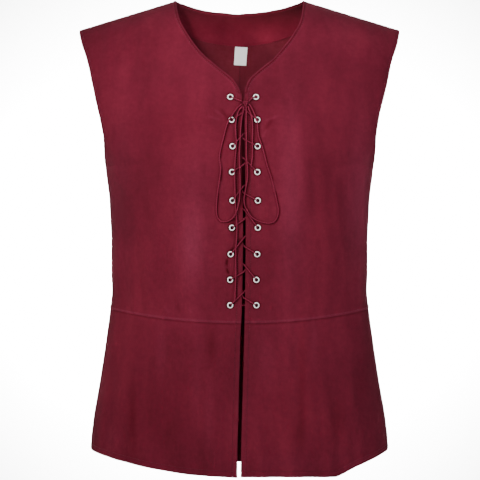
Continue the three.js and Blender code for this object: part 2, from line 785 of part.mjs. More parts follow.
// From each side's top eyelet to the knot: how far along, how far down and how far out.
const toKnot = [
  { along: leaving.near, down: 0.2, out: 1.7 },
  { along: leaving.rim, down: 0.9, out: overEyelet + 0.35 },
  { along: leaving.past, down: 2.4, out: 1.8 },
];
const knotEntry = { up: 2.6, out: 3.0 };

// One strand climbs from a bottom eyelet, side to side, and ends at the knot.
function lacingRoute(firstHand) {
  const bottomRow = eyeletRows.length - 1;
  const start = eyeletRows[bottomRow];
  const outward = signs[firstHand];
  const middle = slitMiddle(start.z);
  const halfway = mix(middle, start[firstHand], 0.55);
  const route = [
    { x: middle + outward * seamGap / 2, z: start.z, out: behindCloth - spanDrop },
    { x: halfway, z: start.z, out: behindCloth - spanDrop },
    { x: start[firstHand] - outward * leaving.rim, z: start.z, out: behindEyelet - rimClearance },
    { x: start[firstHand] - outward * leaving.near, z: start.z, out: -clothThickness - leaving.nearOut },
  ];
  let hand = firstHand;
  for (let row = bottomRow; row > 0; row -= 1) {
    route.push(...climb(row, hand));
    hand = hand === 'right' ? 'left' : 'right';
  }
  const top = eyeletRows[0];
  const towards = -signs[hand];
  route.push({ x: top[hand], z: top.z, out: insideCloth });
  for (const { along, down, out } of toKnot) {
    route.push({ x: top[hand] + towards * along, z: top.z - down, out });
  }
  route.push({
    x: knot.x - towards * (knot.halfWidth + seamGap),
    z: knot.z + knotEntry.up,
    out: knotEntry.out,
  });
  return route;
}

function knotGeometry() {
  const geometry = new THREE.SphereGeometry(1, 10, 6);
  geometry.scale(knot.halfWidth, knot.halfDepth, knot.halfHeight);
  return geometry;
}

addMesh('front_bodice_right', punchedFront('right'), suede);
addMesh('front_bodice_left', punchedFront('left'), suede);
addMesh('front_skirt_right', wall(frontSkirtLayers('right')), suede);
addMesh('front_skirt_left', wall(frontSkirtLayers('left')), suede);
addMesh('back_bodice_right', wall(backBodiceLayers('right')), suede);
addMesh('back_bodice_left', wall(backBodiceLayers('left')), suede);
addMesh('back_skirt', wall(backSkirtLayers()), suede);
addMesh('back_neck_facing', wall(facingLayers()), suedeInside);
addMesh('care_label', wall(labelLayers()), ribbon);

for (const hand of ['right', 'left']) {
  for (let row = 0; row < eyeletRows.length; row += 1) {
    const frame = eyeletFrame(hand, row);
    const eyelet = addMesh(`eyelet_${hand}_${row + 1}`, eyeletGeometry(), nickel);
    eyelet.position.copy(frame.centre);
    eyelet.quaternion.copy(frame.turn);
  }
}

addMesh('lacing_from_right', laceGeometry(lacingRoute('right'), 1), laceCord);
addMesh('lacing_from_left', laceGeometry(lacingRoute('left'), 1), laceCord);
const bowKnot = addMesh('bow_knot', knotGeometry(), laceCord);
bowKnot.position.set(knot.x, frontY(knot.x, knot.z) - knot.out, knot.z);
addMesh('bow_loop_right', laceGeometry(loopRightRoute, 2), laceCord);
addMesh('bow_loop_left', laceGeometry(loopLeftRoute, 2), laceCord);
addMesh('lace_end_right', laceGeometry(endRightRoute, 2), laceCord);
addMesh('lace_end_left', laceGeometry(endLeftRoute, 2), laceCord);

export default vest;
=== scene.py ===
# A laced renaissance vest in burgundy faux suede, in the hollow form that it has when worn.
# The front faces -Y, +X is the wearer's left and +Z is up. Everything is in metres.
import math

import bmesh
import bpy
import numpy as np
from mathutils import Matrix, Vector


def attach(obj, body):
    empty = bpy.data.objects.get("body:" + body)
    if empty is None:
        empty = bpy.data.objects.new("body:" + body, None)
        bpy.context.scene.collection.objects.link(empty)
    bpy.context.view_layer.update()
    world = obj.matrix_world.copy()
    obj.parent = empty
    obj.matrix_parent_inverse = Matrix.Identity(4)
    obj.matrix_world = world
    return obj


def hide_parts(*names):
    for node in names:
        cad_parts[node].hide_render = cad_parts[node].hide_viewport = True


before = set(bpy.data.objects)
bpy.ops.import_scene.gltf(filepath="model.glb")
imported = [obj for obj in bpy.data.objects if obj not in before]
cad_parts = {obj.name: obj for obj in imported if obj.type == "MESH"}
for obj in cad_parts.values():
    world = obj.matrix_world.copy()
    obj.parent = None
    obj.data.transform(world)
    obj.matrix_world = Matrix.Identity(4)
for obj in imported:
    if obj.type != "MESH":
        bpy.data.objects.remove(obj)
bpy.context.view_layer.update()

scene = bpy.context.scene
mm = 0.001  # some tables are in millimetres

# The photograph's view: level with the middle of the vest, from far off.
cameraSetup = {"place": (0.00075, -3.6, -0.3585), "lens": 180.0, "sensor": 36.0}


def addCamera():
    data = bpy.data.cameras.new("photoCamera")
    data.lens = cameraSetup["lens"]
    data.sensor_width = cameraSetup["sensor"]
    camera = bpy.data.objects.new("photoCamera", data)
    camera.location = cameraSetup["place"]
    camera.rotation_euler = (math.pi / 2, 0.0, 0.0)
    scene.collection.objects.link(camera)
    scene.camera = camera


addCamera()
print("camera set")

# The body's cut. Each row of a table is one height, the columns are named beside it.
cut = {
    "cloth": 0.0016,
    "facingCloth": 0.0010,
    "seamOverlap": 0.0004,
    "neckHalfWidth": 0.095,
    "backNeckDrop": 0.0143,
    "tipX": 0.2395,
    "tipZ": -0.044,
    "shoulderRoll": 0.060,
    "underarmZ": -0.249,
    "scyeRise": 0.070,
    "neckRowZ": -0.160,
    "waistCentreZ": -0.480,
    "waistSideZ": -0.461,
    "sectionPower": 2.3,
    "frontScye": 0.55,
    "backScye": 0.52,
    "waistLap": 0.0012,
    "bodiceCrowd": 1.3,
    "skirtCrowd": 1.2,
    "clothRound": 0.0004,
    "holeRadius": 0.0033,
}
halfWidthRows = [  # z, half of the body's width at the side seam or armhole
    (0.0, 0.2395), (-0.044, 0.2395), (-0.0615, 0.236), (-0.0926, 0.226), (-0.1226, 0.219),
    (-0.152, 0.212), (-0.182, 0.2055), (-0.211, 0.2017), (-0.249, 0.2005), (-0.2985, 0.195),
    (-0.3285, 0.1935), (-0.3585, 0.192), (-0.4035, 0.192), (-0.4335, 0.191), (-0.4635, 0.194),
    (-0.5085, 0.200), (-0.5685, 0.209), (-0.6285, 0.219), (-0.6585, 0.222), (-0.710, 0.223),
]
depthRows = [  # z, depth of the front's middle, depth of the back's middle
    (0.0, 0.062, 0.078), (-0.050, 0.072, 0.088), (-0.100, 0.094, 0.105), (-0.151, 0.114, 0.115),
    (-0.200, 0.124, 0.118), (-0.249, 0.127, 0.117), (-0.330, 0.125, 0.111), (-0.400, 0.121, 0.102),
    (-0.480, 0.118, 0.097), (-0.560, 0.124, 0.104), (-0.640, 0.133, 0.114), (-0.710, 0.141, 0.122),
]
frontEdgeRows = [  # z, x of the right front's edge, x of the left front's edge
    (0.0, -0.095, 0.095), (-0.018, -0.092, 0.093), (-0.035, -0.0875, 0.0895),
    (-0.058, -0.0745, 0.077), (-0.082, -0.057, 0.059), (-0.099, -0.039, 0.042),
    (-0.1136, -0.0214, 0.025), (-0.1244, -0.009, 0.0145), (-0.1387, -0.0001, 0.0087),
    (-0.151, 0.0033, 0.0068), (-0.233, 0.0030, 0.0080), (-0.347, 0.0051, 0.0090),
    (-0.448, 0.0036, 0.0080), (-0.506, 0.0012, 0.0065), (-0.564, -0.0004, 0.0050),
    (-0.621, -0.0019, 0.0033), (-0.664, -0.0029, 0.0022), (-0.710, -0.0029, 0.0014),
]
hemRows = {  # share of the way to the side seam, height of the hem
    "right": [(0.0, -0.7019), (0.13, -0.7000), (0.3, -0.6979), (0.4, -0.6952), (0.55, -0.6904),
              (0.72, -0.6836), (1.0, -0.6705)],
    "left": [(0.0, -0.7008), (0.26, -0.7009), (0.4, -0.7014), (0.53, -0.7022), (0.62, -0.7024),
             (0.68, -0.6980), (0.72, -0.6935), (1.0, -0.6705)],
    "back": [(0.0, -0.7020), (0.3, -0.6995), (0.62, -0.6905), (1.0, -0.6705)],
}
frontFolds = [  # share across, spread, rise, where it starts, where it is full
    (-0.83, 0.015, 0.0032, -0.500, -0.640), (-0.61, 0.017, 0.0045, -0.484, -0.670),
    (-0.40, 0.013, 0.0034, -0.520, -0.690), (-0.17, 0.016, 0.0042, -0.490, -0.680),
    (0.14, 0.014, 0.0036, -0.505, -0.690), (0.34, 0.017, 0.0048, -0.484, -0.660),
    (0.58, 0.014, 0.0036, -0.515, -0.690), (0.79, 0.017, 0.0038, -0.490, -0.650),
]
backFolds = [
    (-0.76, 0.017, 0.0038, -0.492, -0.660), (-0.50, 0.015, 0.0046, -0.500, -0.690),
    (-0.21, 0.018, 0.0040, -0.486, -0.680), (0.07, 0.013, 0.0032, -0.520, -0.690),
    (0.36, 0.017, 0.0048, -0.488, -0.660), (0.64, 0.015, 0.0038, -0.506, -0.690),
    (0.84, 0.013, 0.0030, -0.500, -0.640),
]
eyeletRows = [  # z, x on the right front, x on the left front, the lace's climb from each
    (-0.1507, -0.0133, 0.0239, 0.0, 0.0), (-0.1843, -0.0114, 0.0259, 0.0115, 0.0175),
    (-0.2228, -0.0101, 0.0261, 0.0175, 0.0116), (-0.2602, -0.0107, 0.0259, 0.011, 0.0203),
    (-0.3014, -0.0101, 0.0265, 0.021, 0.011), (-0.3407, -0.0109, 0.0265, 0.0126, 0.026),
    (-0.3791, -0.0127, 0.0256, 0.0245, 0.0119), (-0.4163, -0.0135, 0.0245, 0.0125, 0.0216),
    (-0.4532, -0.0135, 0.0245, 0.0189, 0.0115),
]
signOf = {"right": -1.0, "left": 1.0}


def tableCurve(rows, column):
    # a smooth curve through one column of a table, against its first column
    ordered = sorted(rows)
    at = np.array([row[0] for row in ordered])
    value = np.array([row[column] for row in ordered])
    slope = np.diff(value) / np.diff(at)
    bend = np.empty(len(at))
    bend[0], bend[-1] = slope[0], slope[-1]
    both = slope[:-1] * slope[1:]
    total = np.where(both > 0, slope[:-1] + slope[1:], 1.0)
    bend[1:-1] = np.where(both > 0, 2 * both / total, 0.0)

    def curve(where):
        where = np.asarray(where, dtype=float)
        low = np.clip(np.searchsorted(at, where, side="right") - 1, 0, len(at) - 2)
        span = at[low + 1] - at[low]
        share = np.clip((where - at[low]) / span, 0.0, 1.0)
        square, cube = share ** 2, share ** 3
        return (value[low] * (2 * cube - 3 * square + 1) + value[low + 1] * (3 * square - 2 * cube)
                + bend[low] * span * (cube - 2 * square + share)
                + bend[low + 1] * span * (cube - square))
    return curve


halfWidthAt = tableCurve(halfWidthRows, 1)
depthAt = {"front": tableCurve(depthRows, 1), "back": tableCurve(depthRows, 2)}
edgeAt = {"right": tableCurve(frontEdgeRows, 1), "left": tableCurve(frontEdgeRows, 2)}
hemAt = {name: tableCurve(rows, 1) for name, rows in hemRows.items()}
outwardY = {"front": -1.0, "back": 1.0}


def mix(low, high, share):
    return low + (high - low) * share


def smoothStep(value):
    share = np.clip(value, 0.0, 1.0)
    return share * share * (3 - 2 * share)


def bump(away):
    return np.exp(-away * away)


def ridgeZ(x):
    past = np.maximum(np.abs(x) - cut["neckHalfWidth"], 0.0)
    return cut["tipZ"] * past / (cut["tipX"] - cut["neckHalfWidth"])


def sectionHalfWidth(side, z):
    up = np.clip((z - cut["underarmZ"]) / cut["scyeRise"], 0.0, 1.0)
    share = cut[side + "Scye"] * np.sqrt(1 - (1 - up) ** 2)
    power = cut["sectionPower"]
    return halfWidthAt(z) / (1 - share ** power) ** (1 / power)


def foldHeight(side, x, z):
    width = halfWidthAt(z)
    height = np.zeros_like(x)
    for across, spread, rise, top, full in frontFolds if side == "front" else backFolds:
        grown = smoothStep((top - z) / (top - full))
        away = (x / width - across) * width / (spread * mix(0.6, 1.0, grown))
        height += rise * grown * bump(away)
    return height


def clothDepth(side, x, z):
    power = cut["sectionPower"]
    across = np.minimum(np.abs(x) / sectionHalfWidth(side, z), 1.0)
    section = (1 - across ** power) ** (1 / power)
    down = np.clip((ridgeZ(x) - z) / cut["shoulderRoll"], 0.0, 1.0)
    roll = np.sqrt(1 - (1 - down) ** 2)
    return (depthAt[side](z) + foldHeight(side, x, z)) * section * roll


def clothNormal(side, x, z):
    # the depth is squared because its square stays smooth where the cloth turns edge on
    step = 0.00005
    inward = np.where(x > 0, -step, step)
    here = clothDepth(side, x, z)
    slopeX = (clothDepth(side, x + inward, z) ** 2 - here ** 2) / inward
    slopeZ = (here ** 2 - clothDepth(side, x, z - step) ** 2) / step
    normal = np.stack([-slopeX, outwardY[side] * (2 * here + 1e-12), -slopeZ], axis=-1)
    return normal / np.linalg.norm(normal, axis=-1, keepdims=True)


def clothPlace(side, x, z, out):
    x, z, out = np.broadcast_arrays(*(np.asarray(value, float) for value in (x, z, out)))
    y = outwardY[side] * (clothDepth(side, x, z) - cut["seamOverlap"] / 2)
    return np.stack([x, y, z], axis=-1) + clothNormal(side, x, z) * out[..., None]


# Materials. Colours are sRGB hex values.
def toLinear(hexValue):
    channels = [int(hexValue[at:at + 2], 16) / 255 for at in (1, 3, 5)]
    return [c / 12.92 if c <= 0.04045 else ((c + 0.055) / 1.055) ** 2.4 for c in channels] + [1.0]


def addNode(tree, kind, settings=None, links=None):
    node = tree.nodes.new(kind)
    for name, value in (settings or {}).items():
        if name.startswith("in:"):
            node.inputs[name[3:]].default_value = value
        else:
            setattr(node, name, value)
    for name, source in (links or {}).items():
        tree.links.new(source, node.inputs[name])
    return node


def newMaterial(name):
    material = bpy.data.materials.new(name)
    material.use_nodes = True
    tree = material.node_tree
    tree.nodes.clear()
    shader = addNode(tree, "ShaderNodeBsdfPrincipled")
    addNode(tree, "ShaderNodeOutputMaterial", links={"Surface": shader.outputs["BSDF"]})
    return material, tree, shader


def rampNode(tree, factor, stops):
    ramp = addNode(tree, "ShaderNodeValToRGB", links={"Fac": factor})
    while len(ramp.color_ramp.elements) < len(stops):
        ramp.color_ramp.elements.new(0.5)
    for element, (at, colour) in zip(ramp.color_ramp.elements, stops):
        element.position = at
        element.color = toLinear(colour)
    return ramp.outputs["Color"]


suedeLook = {
    "outside": ["#490e1c", "#541222", "#5e1727"], "inside": ["#551620", "#5d1b27", "#66202c"],
    # the facing's colours are a paler copy of the outside: painted light on the neck's inner face
    "facing": ["#5e1222", "#691627", "#731b2e"],
    "roughness": 0.95, "sheen": 0.08, "sheenTint": "#c98c95",
    # scale, detail, roughness and share of each layer of the mottle, then the nap's own noise
    "mottle": {"patch": (7.0, 3.0, 0.55, 0.40), "brush": (26.0, 5.0, 0.6, 0.33),
               "fleck": (150.0, 4.0, 0.75, 0.27)},
    "napAndPaintedLight": (900.0, 3.0, 0.7), "brushStretch": (1.0, 1.0, 0.28),
    "napHeight": 0.00035, "paintedLightHue": -0.010, "paintedLightSaturation": -0.09,
    "stitchHalf": 0.0012, "stitchShade": 0.74, "seamHalf": 0.0014, "seamShade": 0.8,
}


def setSockets(shader, values):
    for socket, value in values.items():
        shader.inputs[socket].default_value = value


def addNoise(tree, place, scale, detail, roughness):
    return addNode(tree, "ShaderNodeTexNoise",
                   {"in:Scale": scale, "in:Detail": detail, "in:Roughness": roughness},
                   {"Vector": place}).outputs["Fac"]


def addMath(tree, operation, *values):
    node = addNode(tree, "ShaderNodeMath", {"operation": operation})
    for socket, value in zip(node.inputs, values):
        if isinstance(value, float):
            socket.default_value = value
        else:
            tree.links.new(value, socket)
    return node.outputs["Value"]


def addRange(tree, value, high, toLow, toHigh):
    return addNode(tree, "ShaderNodeMapRange",
                   {"interpolation_type": "SMOOTHSTEP", "in:From Max": high, "in:To Min": toLow,
                    "in:To Max": toHigh}, {"Value": value}).outputs["Result"]


def suedeMaterial(name, side):
    # Faux suede: brushed polyester microfibre. Its short nap lies in soft patches, so it
    # looks mottled and matte, with a faint pale sheen where the cloth turns away. Painted shade
    # darkens the stitched lines and the seams, and a mark on the mesh adds painted highlights and shade.
    material, tree, shader = newMaterial(name)
    place = addNode(tree, "ShaderNodeTexCoord").outputs["Object"]
    stretched = addNode(tree, "ShaderNodeMapping", {"in:Scale": suedeLook["brushStretch"]},
                        {"Vector": place}).outputs["Vector"]
    napAndPaintedLight = addNoise(tree, place, *suedeLook["napAndPaintedLight"])
    mottle = 0.0
    for layer, (scale, detail, roughness, share) in suedeLook["mottle"].items():
        noise = addNoise(tree, stretched if layer == "brush" else place, scale, detail, roughness)
        mottle = addMath(tree, "ADD", mottle, addMath(tree, "MULTIPLY", noise, share))
    low, middle, high = suedeLook[side]
    colour = rampNode(tree, mottle, [(0.38, low), (0.5, middle), (0.62, high)])
    # the third mark is painted light and shade, with a little of the nap's own tone
    marks = {mark: addNode(tree, "ShaderNodeAttribute", {"attribute_name": mark}).outputs["Fac"]
             for mark in ("stitch", "seam", "napAndPaintedLight")}
    shade = addMath(tree, "ADD", marks["napAndPaintedLight"], 1.0)
    # painted shade in the stitched grooves and in the seams
    stitchShade = addRange(tree, marks["stitch"], suedeLook["stitchHalf"], suedeLook["stitchShade"], 1.0)
    seamShade = addRange(tree, marks["seam"], suedeLook["seamHalf"], suedeLook["seamShade"], 1.0)
    shade = addMath(tree, "MULTIPLY", shade, addMath(tree, "MULTIPLY", stitchShade, seamShade))
    # where the painted light is paler it is also pinker and less strongly coloured
    hue = addMath(tree, "MULTIPLY_ADD", marks["napAndPaintedLight"], suedeLook["paintedLightHue"], 0.5)
    strength = addMath(tree, "MULTIPLY_ADD", marks["napAndPaintedLight"], suedeLook["paintedLightSaturation"], 1.0)
    shaded = addNode(tree, "ShaderNodeHueSaturation", {},
                     {"Hue": hue, "Saturation": strength, "Value": shade, "Color": colour})
    tree.links.new(shaded.outputs["Color"], shader.inputs["Base Color"])
    setSockets(shader, {
        "Roughness": suedeLook["roughness"], "Specular IOR Level": 0.1, "Sheen Roughness": 0.5,
        "Sheen Weight": suedeLook["sheen"], "Sheen Tint": toLinear(suedeLook["sheenTint"])})
    drawn = addRange(tree, marks["stitch"], suedeLook["stitchHalf"], 0.0, 1.0)
    relief = addNode(tree, "ShaderNodeBump", {"in:Strength": 0.6, "in:Distance": suedeLook["napHeight"]},
                     {"Height": addMath(tree, "ADD", napAndPaintedLight, drawn)})
    tree.links.new(relief.outputs["Normal"], shader.inputs["Normal"])
    return material


def grainMaterial(name, grain, stops, constants, bumpStrength=0.0):
    # a fine grain, a texture node's kind and settings, runs the colour through a ramp and may
    # raise the surface
    material, tree, shader = newMaterial(name)
    place = addNode(tree, "ShaderNodeTexCoord").outputs["Object"]
    level = addNode(tree, *grain, {"Vector": place}).outputs["Fac"]
    tree.links.new(rampNode(tree, level, stops), shader.inputs["Base Color"])
    setSockets(shader, constants)
    if bumpStrength:
        relief = addNode(tree, "ShaderNodeBump", {"in:Strength": bumpStrength, "in:Distance": 0.0002},
                         {"Height": level})
        tree.links.new(relief.outputs["Normal"], shader.inputs["Normal"])
    return material, tree, shader, level


def noiseGrain(scale, detail):
    return "ShaderNodeTexNoise", {"in:Scale": scale, "in:Detail": detail}


suede = suedeMaterial("fauxSuede", "outside")
suedeBack = suedeMaterial("fauxSuedeBack", "inside")
# a paler copy of the suede, painted light for the facing inside the neck
suedeFacingPaintedLight = suedeMaterial("fauxSuedeFacingPaintedLight", "facing")

# Nickel-plated brass, pressed and tumbled: bright, with soft reflections, duller where worn. Its
# near-white, barely metallic colour is a painted reflection of the bright surroundings that polished
# nickel mirrors.
nickel, nickelTree, nickelShader, wear = grainMaterial(
    "nickelPlatePaintedReflection", noiseGrain(700.0, 2.0), [(0.35, "#e9e7e4"), (0.7, "#faf9f7")], {"Metallic": 0.12})
worn = addNode(nickelTree, "ShaderNodeMapRange", {"in:To Min": 0.30, "in:To Max": 0.46}, {"Value": wear})
nickelTree.links.new(worn.outputs["Result"], nickelShader.inputs["Roughness"])

# The same nickel on the barrel's inside and at the rim's inner and outer edges, painted almost black and
# matte as shade.
nickelPaintedShade = grainMaterial(
    "nickelPaintedShade", noiseGrain(900.0, 2.0), [(0.35, "#070505"), (0.7, "#110d0e")],
    {"Roughness": 0.7, "Specular IOR Level": 0.08})[0]

# Faux suede lace, a thin cord of the same cloth twisted round itself: matte, and a shade
# lighter than the panels where its nap stands up.
laceSuede = grainMaterial(
    "suedeLace", noiseGrain(1400.0, 3.0), [(0.3, "#561124"), (0.7, "#772137")],
    {"Roughness": 0.88, "Specular IOR Level": 0.1, "Sheen Weight": 0.06,
     "Sheen Tint": toLinear("#d98f9c")}, bumpStrength=0.4)[0]

# Woven satin ribbon, bare: white, smooth, with a faint cross rib.
ribs = {"wave_type": "BANDS", "bands_direction": "Z", "in:Scale": 320.0, "in:Distortion": 0.4}
satin = grainMaterial(
    "satinRibbon", ("ShaderNodeTexWave", ribs), [(0.0, "#f0eeec"), (1.0, "#fcfbfa")],
    {"Roughness": 0.5}, bumpStrength=0.3)[0]

# Polyester sewing thread, dyed to match: a touch shinier and lighter than the nap.
threadPolyester = grainMaterial(
    "sewingThread", noiseGrain(1800.0, 1.0), [(0.3, "#4d1120"), (0.7, "#632233")],
    {"Roughness": 0.55, "Specular IOR Level": 0.15})[0]
print("materials made")


def addPiece(name, mesh, materials, slot, *nodes):
    piece = bpy.data.objects.new(name, mesh)
    for material in materials:
        mesh.materials.append(material)
    scene.collection.objects.link(piece)
    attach(piece, "root")
    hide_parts(*nodes)
    return piece


def meshOf(shape, name):
    mesh = bpy.data.meshes.new(name)
    shape.to_mesh(mesh)
    shape.free()
    return mesh


def smoothMesh(shape, name, sheet=False):
    # an open sheet's faces are turned away from the body's axis
    bmesh.ops.recalc_face_normals(shape, faces=shape.faces)
    for face in shape.faces:
        face.smooth = True
    if sheet:
        outward = sum(face.normal.xy.dot(face.calc_center_median().xy) * face.calc_area()
                      for face in shape.faces)
        if outward < 0:
            bmesh.ops.reverse_faces(shape, faces=shape.faces)
    return meshOf(shape, name)


# The lace: one thin twisted cord. The same routes as its solids have, x, z and out.
lace = {"radius": 0.0009, "sides": 10, "step": 0.0009, "twist": 0.0034, "twistDepth": 0.13,
        "endTaper": 0.72}
# The knot: its middle, how far the lace winds about it, and where a strand comes in.
knot = {"x": 0.0087, "z": -0.160, "out": 0.0036, "reach": (0.0037, 0.0019, 0.0034),
        "entry": (0.0048, 0.0026, 0.0030)}
# How a strand passes an eyelet: how far from its middle and how far out. At the top pair it
# also drops.
passFront = [(0.0014, -0.0008), (0.0017, 0.0013), (0.0032, 0.00225), (0.0064, 0.0016)]
passBehind = [(0.0064, -0.0032), (0.0032, -0.00375), (0.0017, -0.0031)]
passTop = [(0.0014, -0.0008, 0.0002), (0.0017, 0.0014, 0.0004), (0.0032, 0.00245, 0.0009),
           (0.0064, 0.0018, 0.0024)]
# How it passes the slit: over the near edge, down between, and behind the far edge.
slitPass = {"beside": 0.0007, "rise": 0.0015, "nearOut": 0.0012, "middleOut": -0.0008,
            "farOut": -0.0028, "footMiddle": 0.00015, "footShare": 0.55, "footOut": -0.0032}
# The free stretches of the lace: x, z and how far out in front of the cloth, in millimetres.
freeLace = {
    "bow_loop_right": [
        (3.7, -161.2, 3.3), (-2.2, -166, 3.5), (-8, -173.6, 3.3), (-13.6, -182.5, 4.2),
        (-17.8, -190.2, 2.2), (-22.5, -207.6, 1.2), (-26.8, -225, 1.2), (-29, -239.5, 1.2),
        (-27.2, -255, 1.2), (-29, -271.4, 1.2), (-31.9, -291.8, 1.2), (-33.5, -312, 1.2),
        (-31.9, -325.1, 1.2), (-26.1, -331.6, 1.2), (-17.4, -331.4, 1.6), (-9.4, -326.2, 3.3),
        (-4.4, -317.1, 3.6), (-0.7, -303.4, 2.6), (0.8, -287.4, 3.3), (1.0, -271.4, 2.6),
        (0.2, -251.1, 3.3), (0.2, -230.8, 2.6), (1.0, -208.5, 3.3), (2.6, -187.3, 3.0),
        (5.2, -172.6, 3.6), (6.6, -165.3, 3.8)],
    "bow_loop_left": [
        (13.6, -161.2, 3.4), (16.9, -165.3, 3.6), (20.0, -172, 3.8), (23.2, -179.6, 4.2),
        (25.6, -186.6, 4.2), (26.4, -194.6, 2.0), (27.4, -206.2, 1.2), (31.5, -219.2, 2.1),
        (35.2, -230.8, 1.2), (38.9, -246.2, 1.2), (42.8, -258.4, 1.2), (46.9, -271.4, 1.2),
        (50.9, -288.4, 1.2), (54.4, -303.9, 1.2), (56.3, -315, 1.2), (54.8, -325.1, 1.2),
        (50.1, -331.8, 1.2), (42.5, -334.2, 1.2), (33.4, -333, 1.6), (25.4, -330.2, 3.3),
        (17.4, -325, 3.6), (12.2, -317.6, 3.3), (7.6, -308.7, 3.6), (6.6, -299, 3.0),
        (7.9, -290.3, 3.8), (9.8, -279.5, 2.8), (11.6, -268.5, 2.6), (11.6, -254, 2.4),
        (10.6, -244, 3.7), (10.2, -230.8, 2.6), (9.9, -211.6, 3.7), (9.8, -192, 2.8),
        (9.8, -175, 3.7), (9.4, -164.6, 3.9)],
    "lace_end_right": [
        (4.9, -164.2, 3.5), (-0.8, -170.6, 3.3), (-3.9, -180, 3.5), (-5.7, -193.1, 2.0),
        (-5.2, -207.6, 2.6), (-4.4, -216, 4.0), (-5.2, -230, 2.0), (-6.2, -242.4, 1.8),
        (-6.6, -251.5, 3.7), (-6.8, -258, 4.5), (-6.9, -265, 2.8), (-6.6, -280.1, 1.6),
        (-6.2, -295, 4.2), (-6.0, -304, 1.9), (-5.4, -316, 1.2), (-4.4, -326.6, 2.0),
        (-3.8, -336, 4.1), (-3.9, -350, 2.0), (-4.6, -362, 3.3), (-5.4, -372, 3.3),
        (-5.4, -390.3, 1.6), (-5.2, -404.8, 2.9), (-5.4, -411.5, 3.8), (-5.8, -424, 2.0),
        (-6.2, -436, 2.6), (-6.9, -446, 3.7)],
    "lace_end_left": [
        (12.2, -164.4, 3.6), (14.4, -170.4, 3.3), (17.0, -177.1, 3.8), (18.7, -186, 2.4),
        (19.2, -199, 2.0), (18.8, -211, 3.3), (18.7, -218.5, 3.9), (18.9, -226, 3.0),
        (18.8, -237, 2.4), (17.8, -245.5, 3.8), (17.0, -253.5, 4.3)],
}

# Creases and soft folds laid in each cloth: where each begins and ends (x and z),
# how far its middle bows sideways, its half width and its height, all in millimetres.
# A height below zero is a trough.
frontCreases = [
    (-62, -215, -58, -440, -3, 16, 1.5), (-96, -250, -104, -455, 4, 14, -1.2),
    (-132, -262, -128, -440, -5, 15, 1.3), (-163, -275, -160, -455, 3, 10, -1.0),
    (-35, -250, -33, -420, 2, 9, -0.7), (72, -220, 66, -430, 4, 15, 1.4),
    (104, -240, 112, -450, -4, 13, -1.1), (139, -258, 134, -440, 4, 14, 1.2),
    (168, -280, 164, -455, -3, 10, -1.0), (44, -340, 42, -455, -2, 8, -0.6),
    (-16, -178, -72, -128, 3, 5, -0.8), (-17, -190, -80, -158, -3, 6, 0.7),
    (-18, -212, -70, -196, 2, 5, -0.6), (30, -180, 84, -132, -3, 5, -0.8),
    (31, -192, 92, -164, 3, 6, 0.7), (32, -216, 86, -204, -2, 5, -0.6),
    (-120, -70, -150, -190, 8, 12, -1.0), (122, -74, 150, -196, -8, 12, -1.0),
    (-176, -236, -120, -258, 5, 7, -0.9), (178, -238, 118, -262, -5, 7, -0.9),
    (-188, -252, -150, -300, 4, 6, 0.7), (188, -254, 152, -304, -4, 6, 0.7),
    (-28, -165, -14, -184, 1, 2.6, -0.9), (-50, -177, -25, -184, 1, 2.6, 0.6),
    (-37, -167, -20, -181, 1, 2.0, 0.5), (49, -180, 36, -199, -1, 2.6, -0.9),
    (59, -177, 33, -186, -1, 2.6, 0.6), (41, -196, 33, -213, 1, 2.4, 0.5),
    (-10.5, -362, -18.3, -386, 1, 1.6, -0.9), (-18.3, -386, -16.7, -409, 1, 1.6, -0.9),
    (-110, -453, -100, -466, 0, 3, 0.6), (-92, -450, -85, -465, 0, 3, -0.5),
    (-75, -452, -68, -467, 0, 3, 0.6), (-58, -450, -50, -463, 0, 3, -0.5),
    (96, -452, 104, -464, 0, 3, 0.5), (60, -455, 66, -468, 0, 3, -0.5),
]
backCreases = [
    (-60, -190, -66, -440, 4, 16, 1.4), (-98, -215, -92, -455, -4, 14, -1.1),
    (-136, -262, -142, -440, 4, 13, 1.2), (56, -200, 64, -445, -4, 15, 1.3),
    (101, -225, 95, -450, 5, 14, -1.2), (140, -258, 133, -446, -4, 13, 1.1),
    (-22, -70, -28, -200, 3, 10, -0.8), (24, -74, 19, -215, -3, 10, -0.9),
    (-180, -238, -118, -262, 5, 7, -0.9), (177, -236, 122, -256, -5, 7, -0.9),
]
# Patches of painted light and shade, paler where the form faces the light and darker where it
# turns away, with some of the nap's own streaky tone: middle (x and z), half width, half height
# (millimetres) and how much paler it is.
napAndPaintedLightPatches = {
    "front": [
        (-66, -320, 28, 130, 0.17), (-69, -368, 17, 50, 0.32), (-80, -190, 60, 50, -0.10),
        (75, -300, 20, 135, 0.32), (28, -300, 7, 100, 0.05), (128, -290, 28, 120, -0.03),
        (-150, -60, 60, 40, -0.06), (150, -60, 60, 40, 0.04), (-178, -300, 22, 95, 0.22),
        (178, -300, 22, 95, 0.38), (-30, -150, 40, 40, 0.03), (-186, -650, 14, 20, 0.10),
        (-116, -612, 44, 55, -0.10), (-155, -620, 6, 45, -0.18), (-41, -511, 7, 25, -0.18),
        (-114, -518, 8, 32, 0.16), (-62, -560, 7, 60, 0.11), (-45, -620, 7, 60, 0.12),
        (37, -525, 16, 40, 0.12), (91, -570, 5, 80, -0.16), (109, -507, 6, 35, 0.15),
        (86, -638, 10, 18, -0.12), (142, -620, 12, 30, -0.12), (77, -680, 55, 14, 0.08),
        (95, -600, 60, 45, -0.04), (-60, -470, 90, 12, 0.04),
        (6, -245, 12, 80, -0.14)],
    "back": [(-66, -300, 30, 130, 0.14), (70, -320, 28, 120, 0.12), (0, -120, 80, 50, 0.04),
             (-160, -380, 26, 120, -0.05), (162, -370, 26, 120, -0.05), (-90, -660, 80, 50, -0.06),
             (80, -600, 24, 60, 0.05), (-20, -540, 20, 60, 0.04)],
}
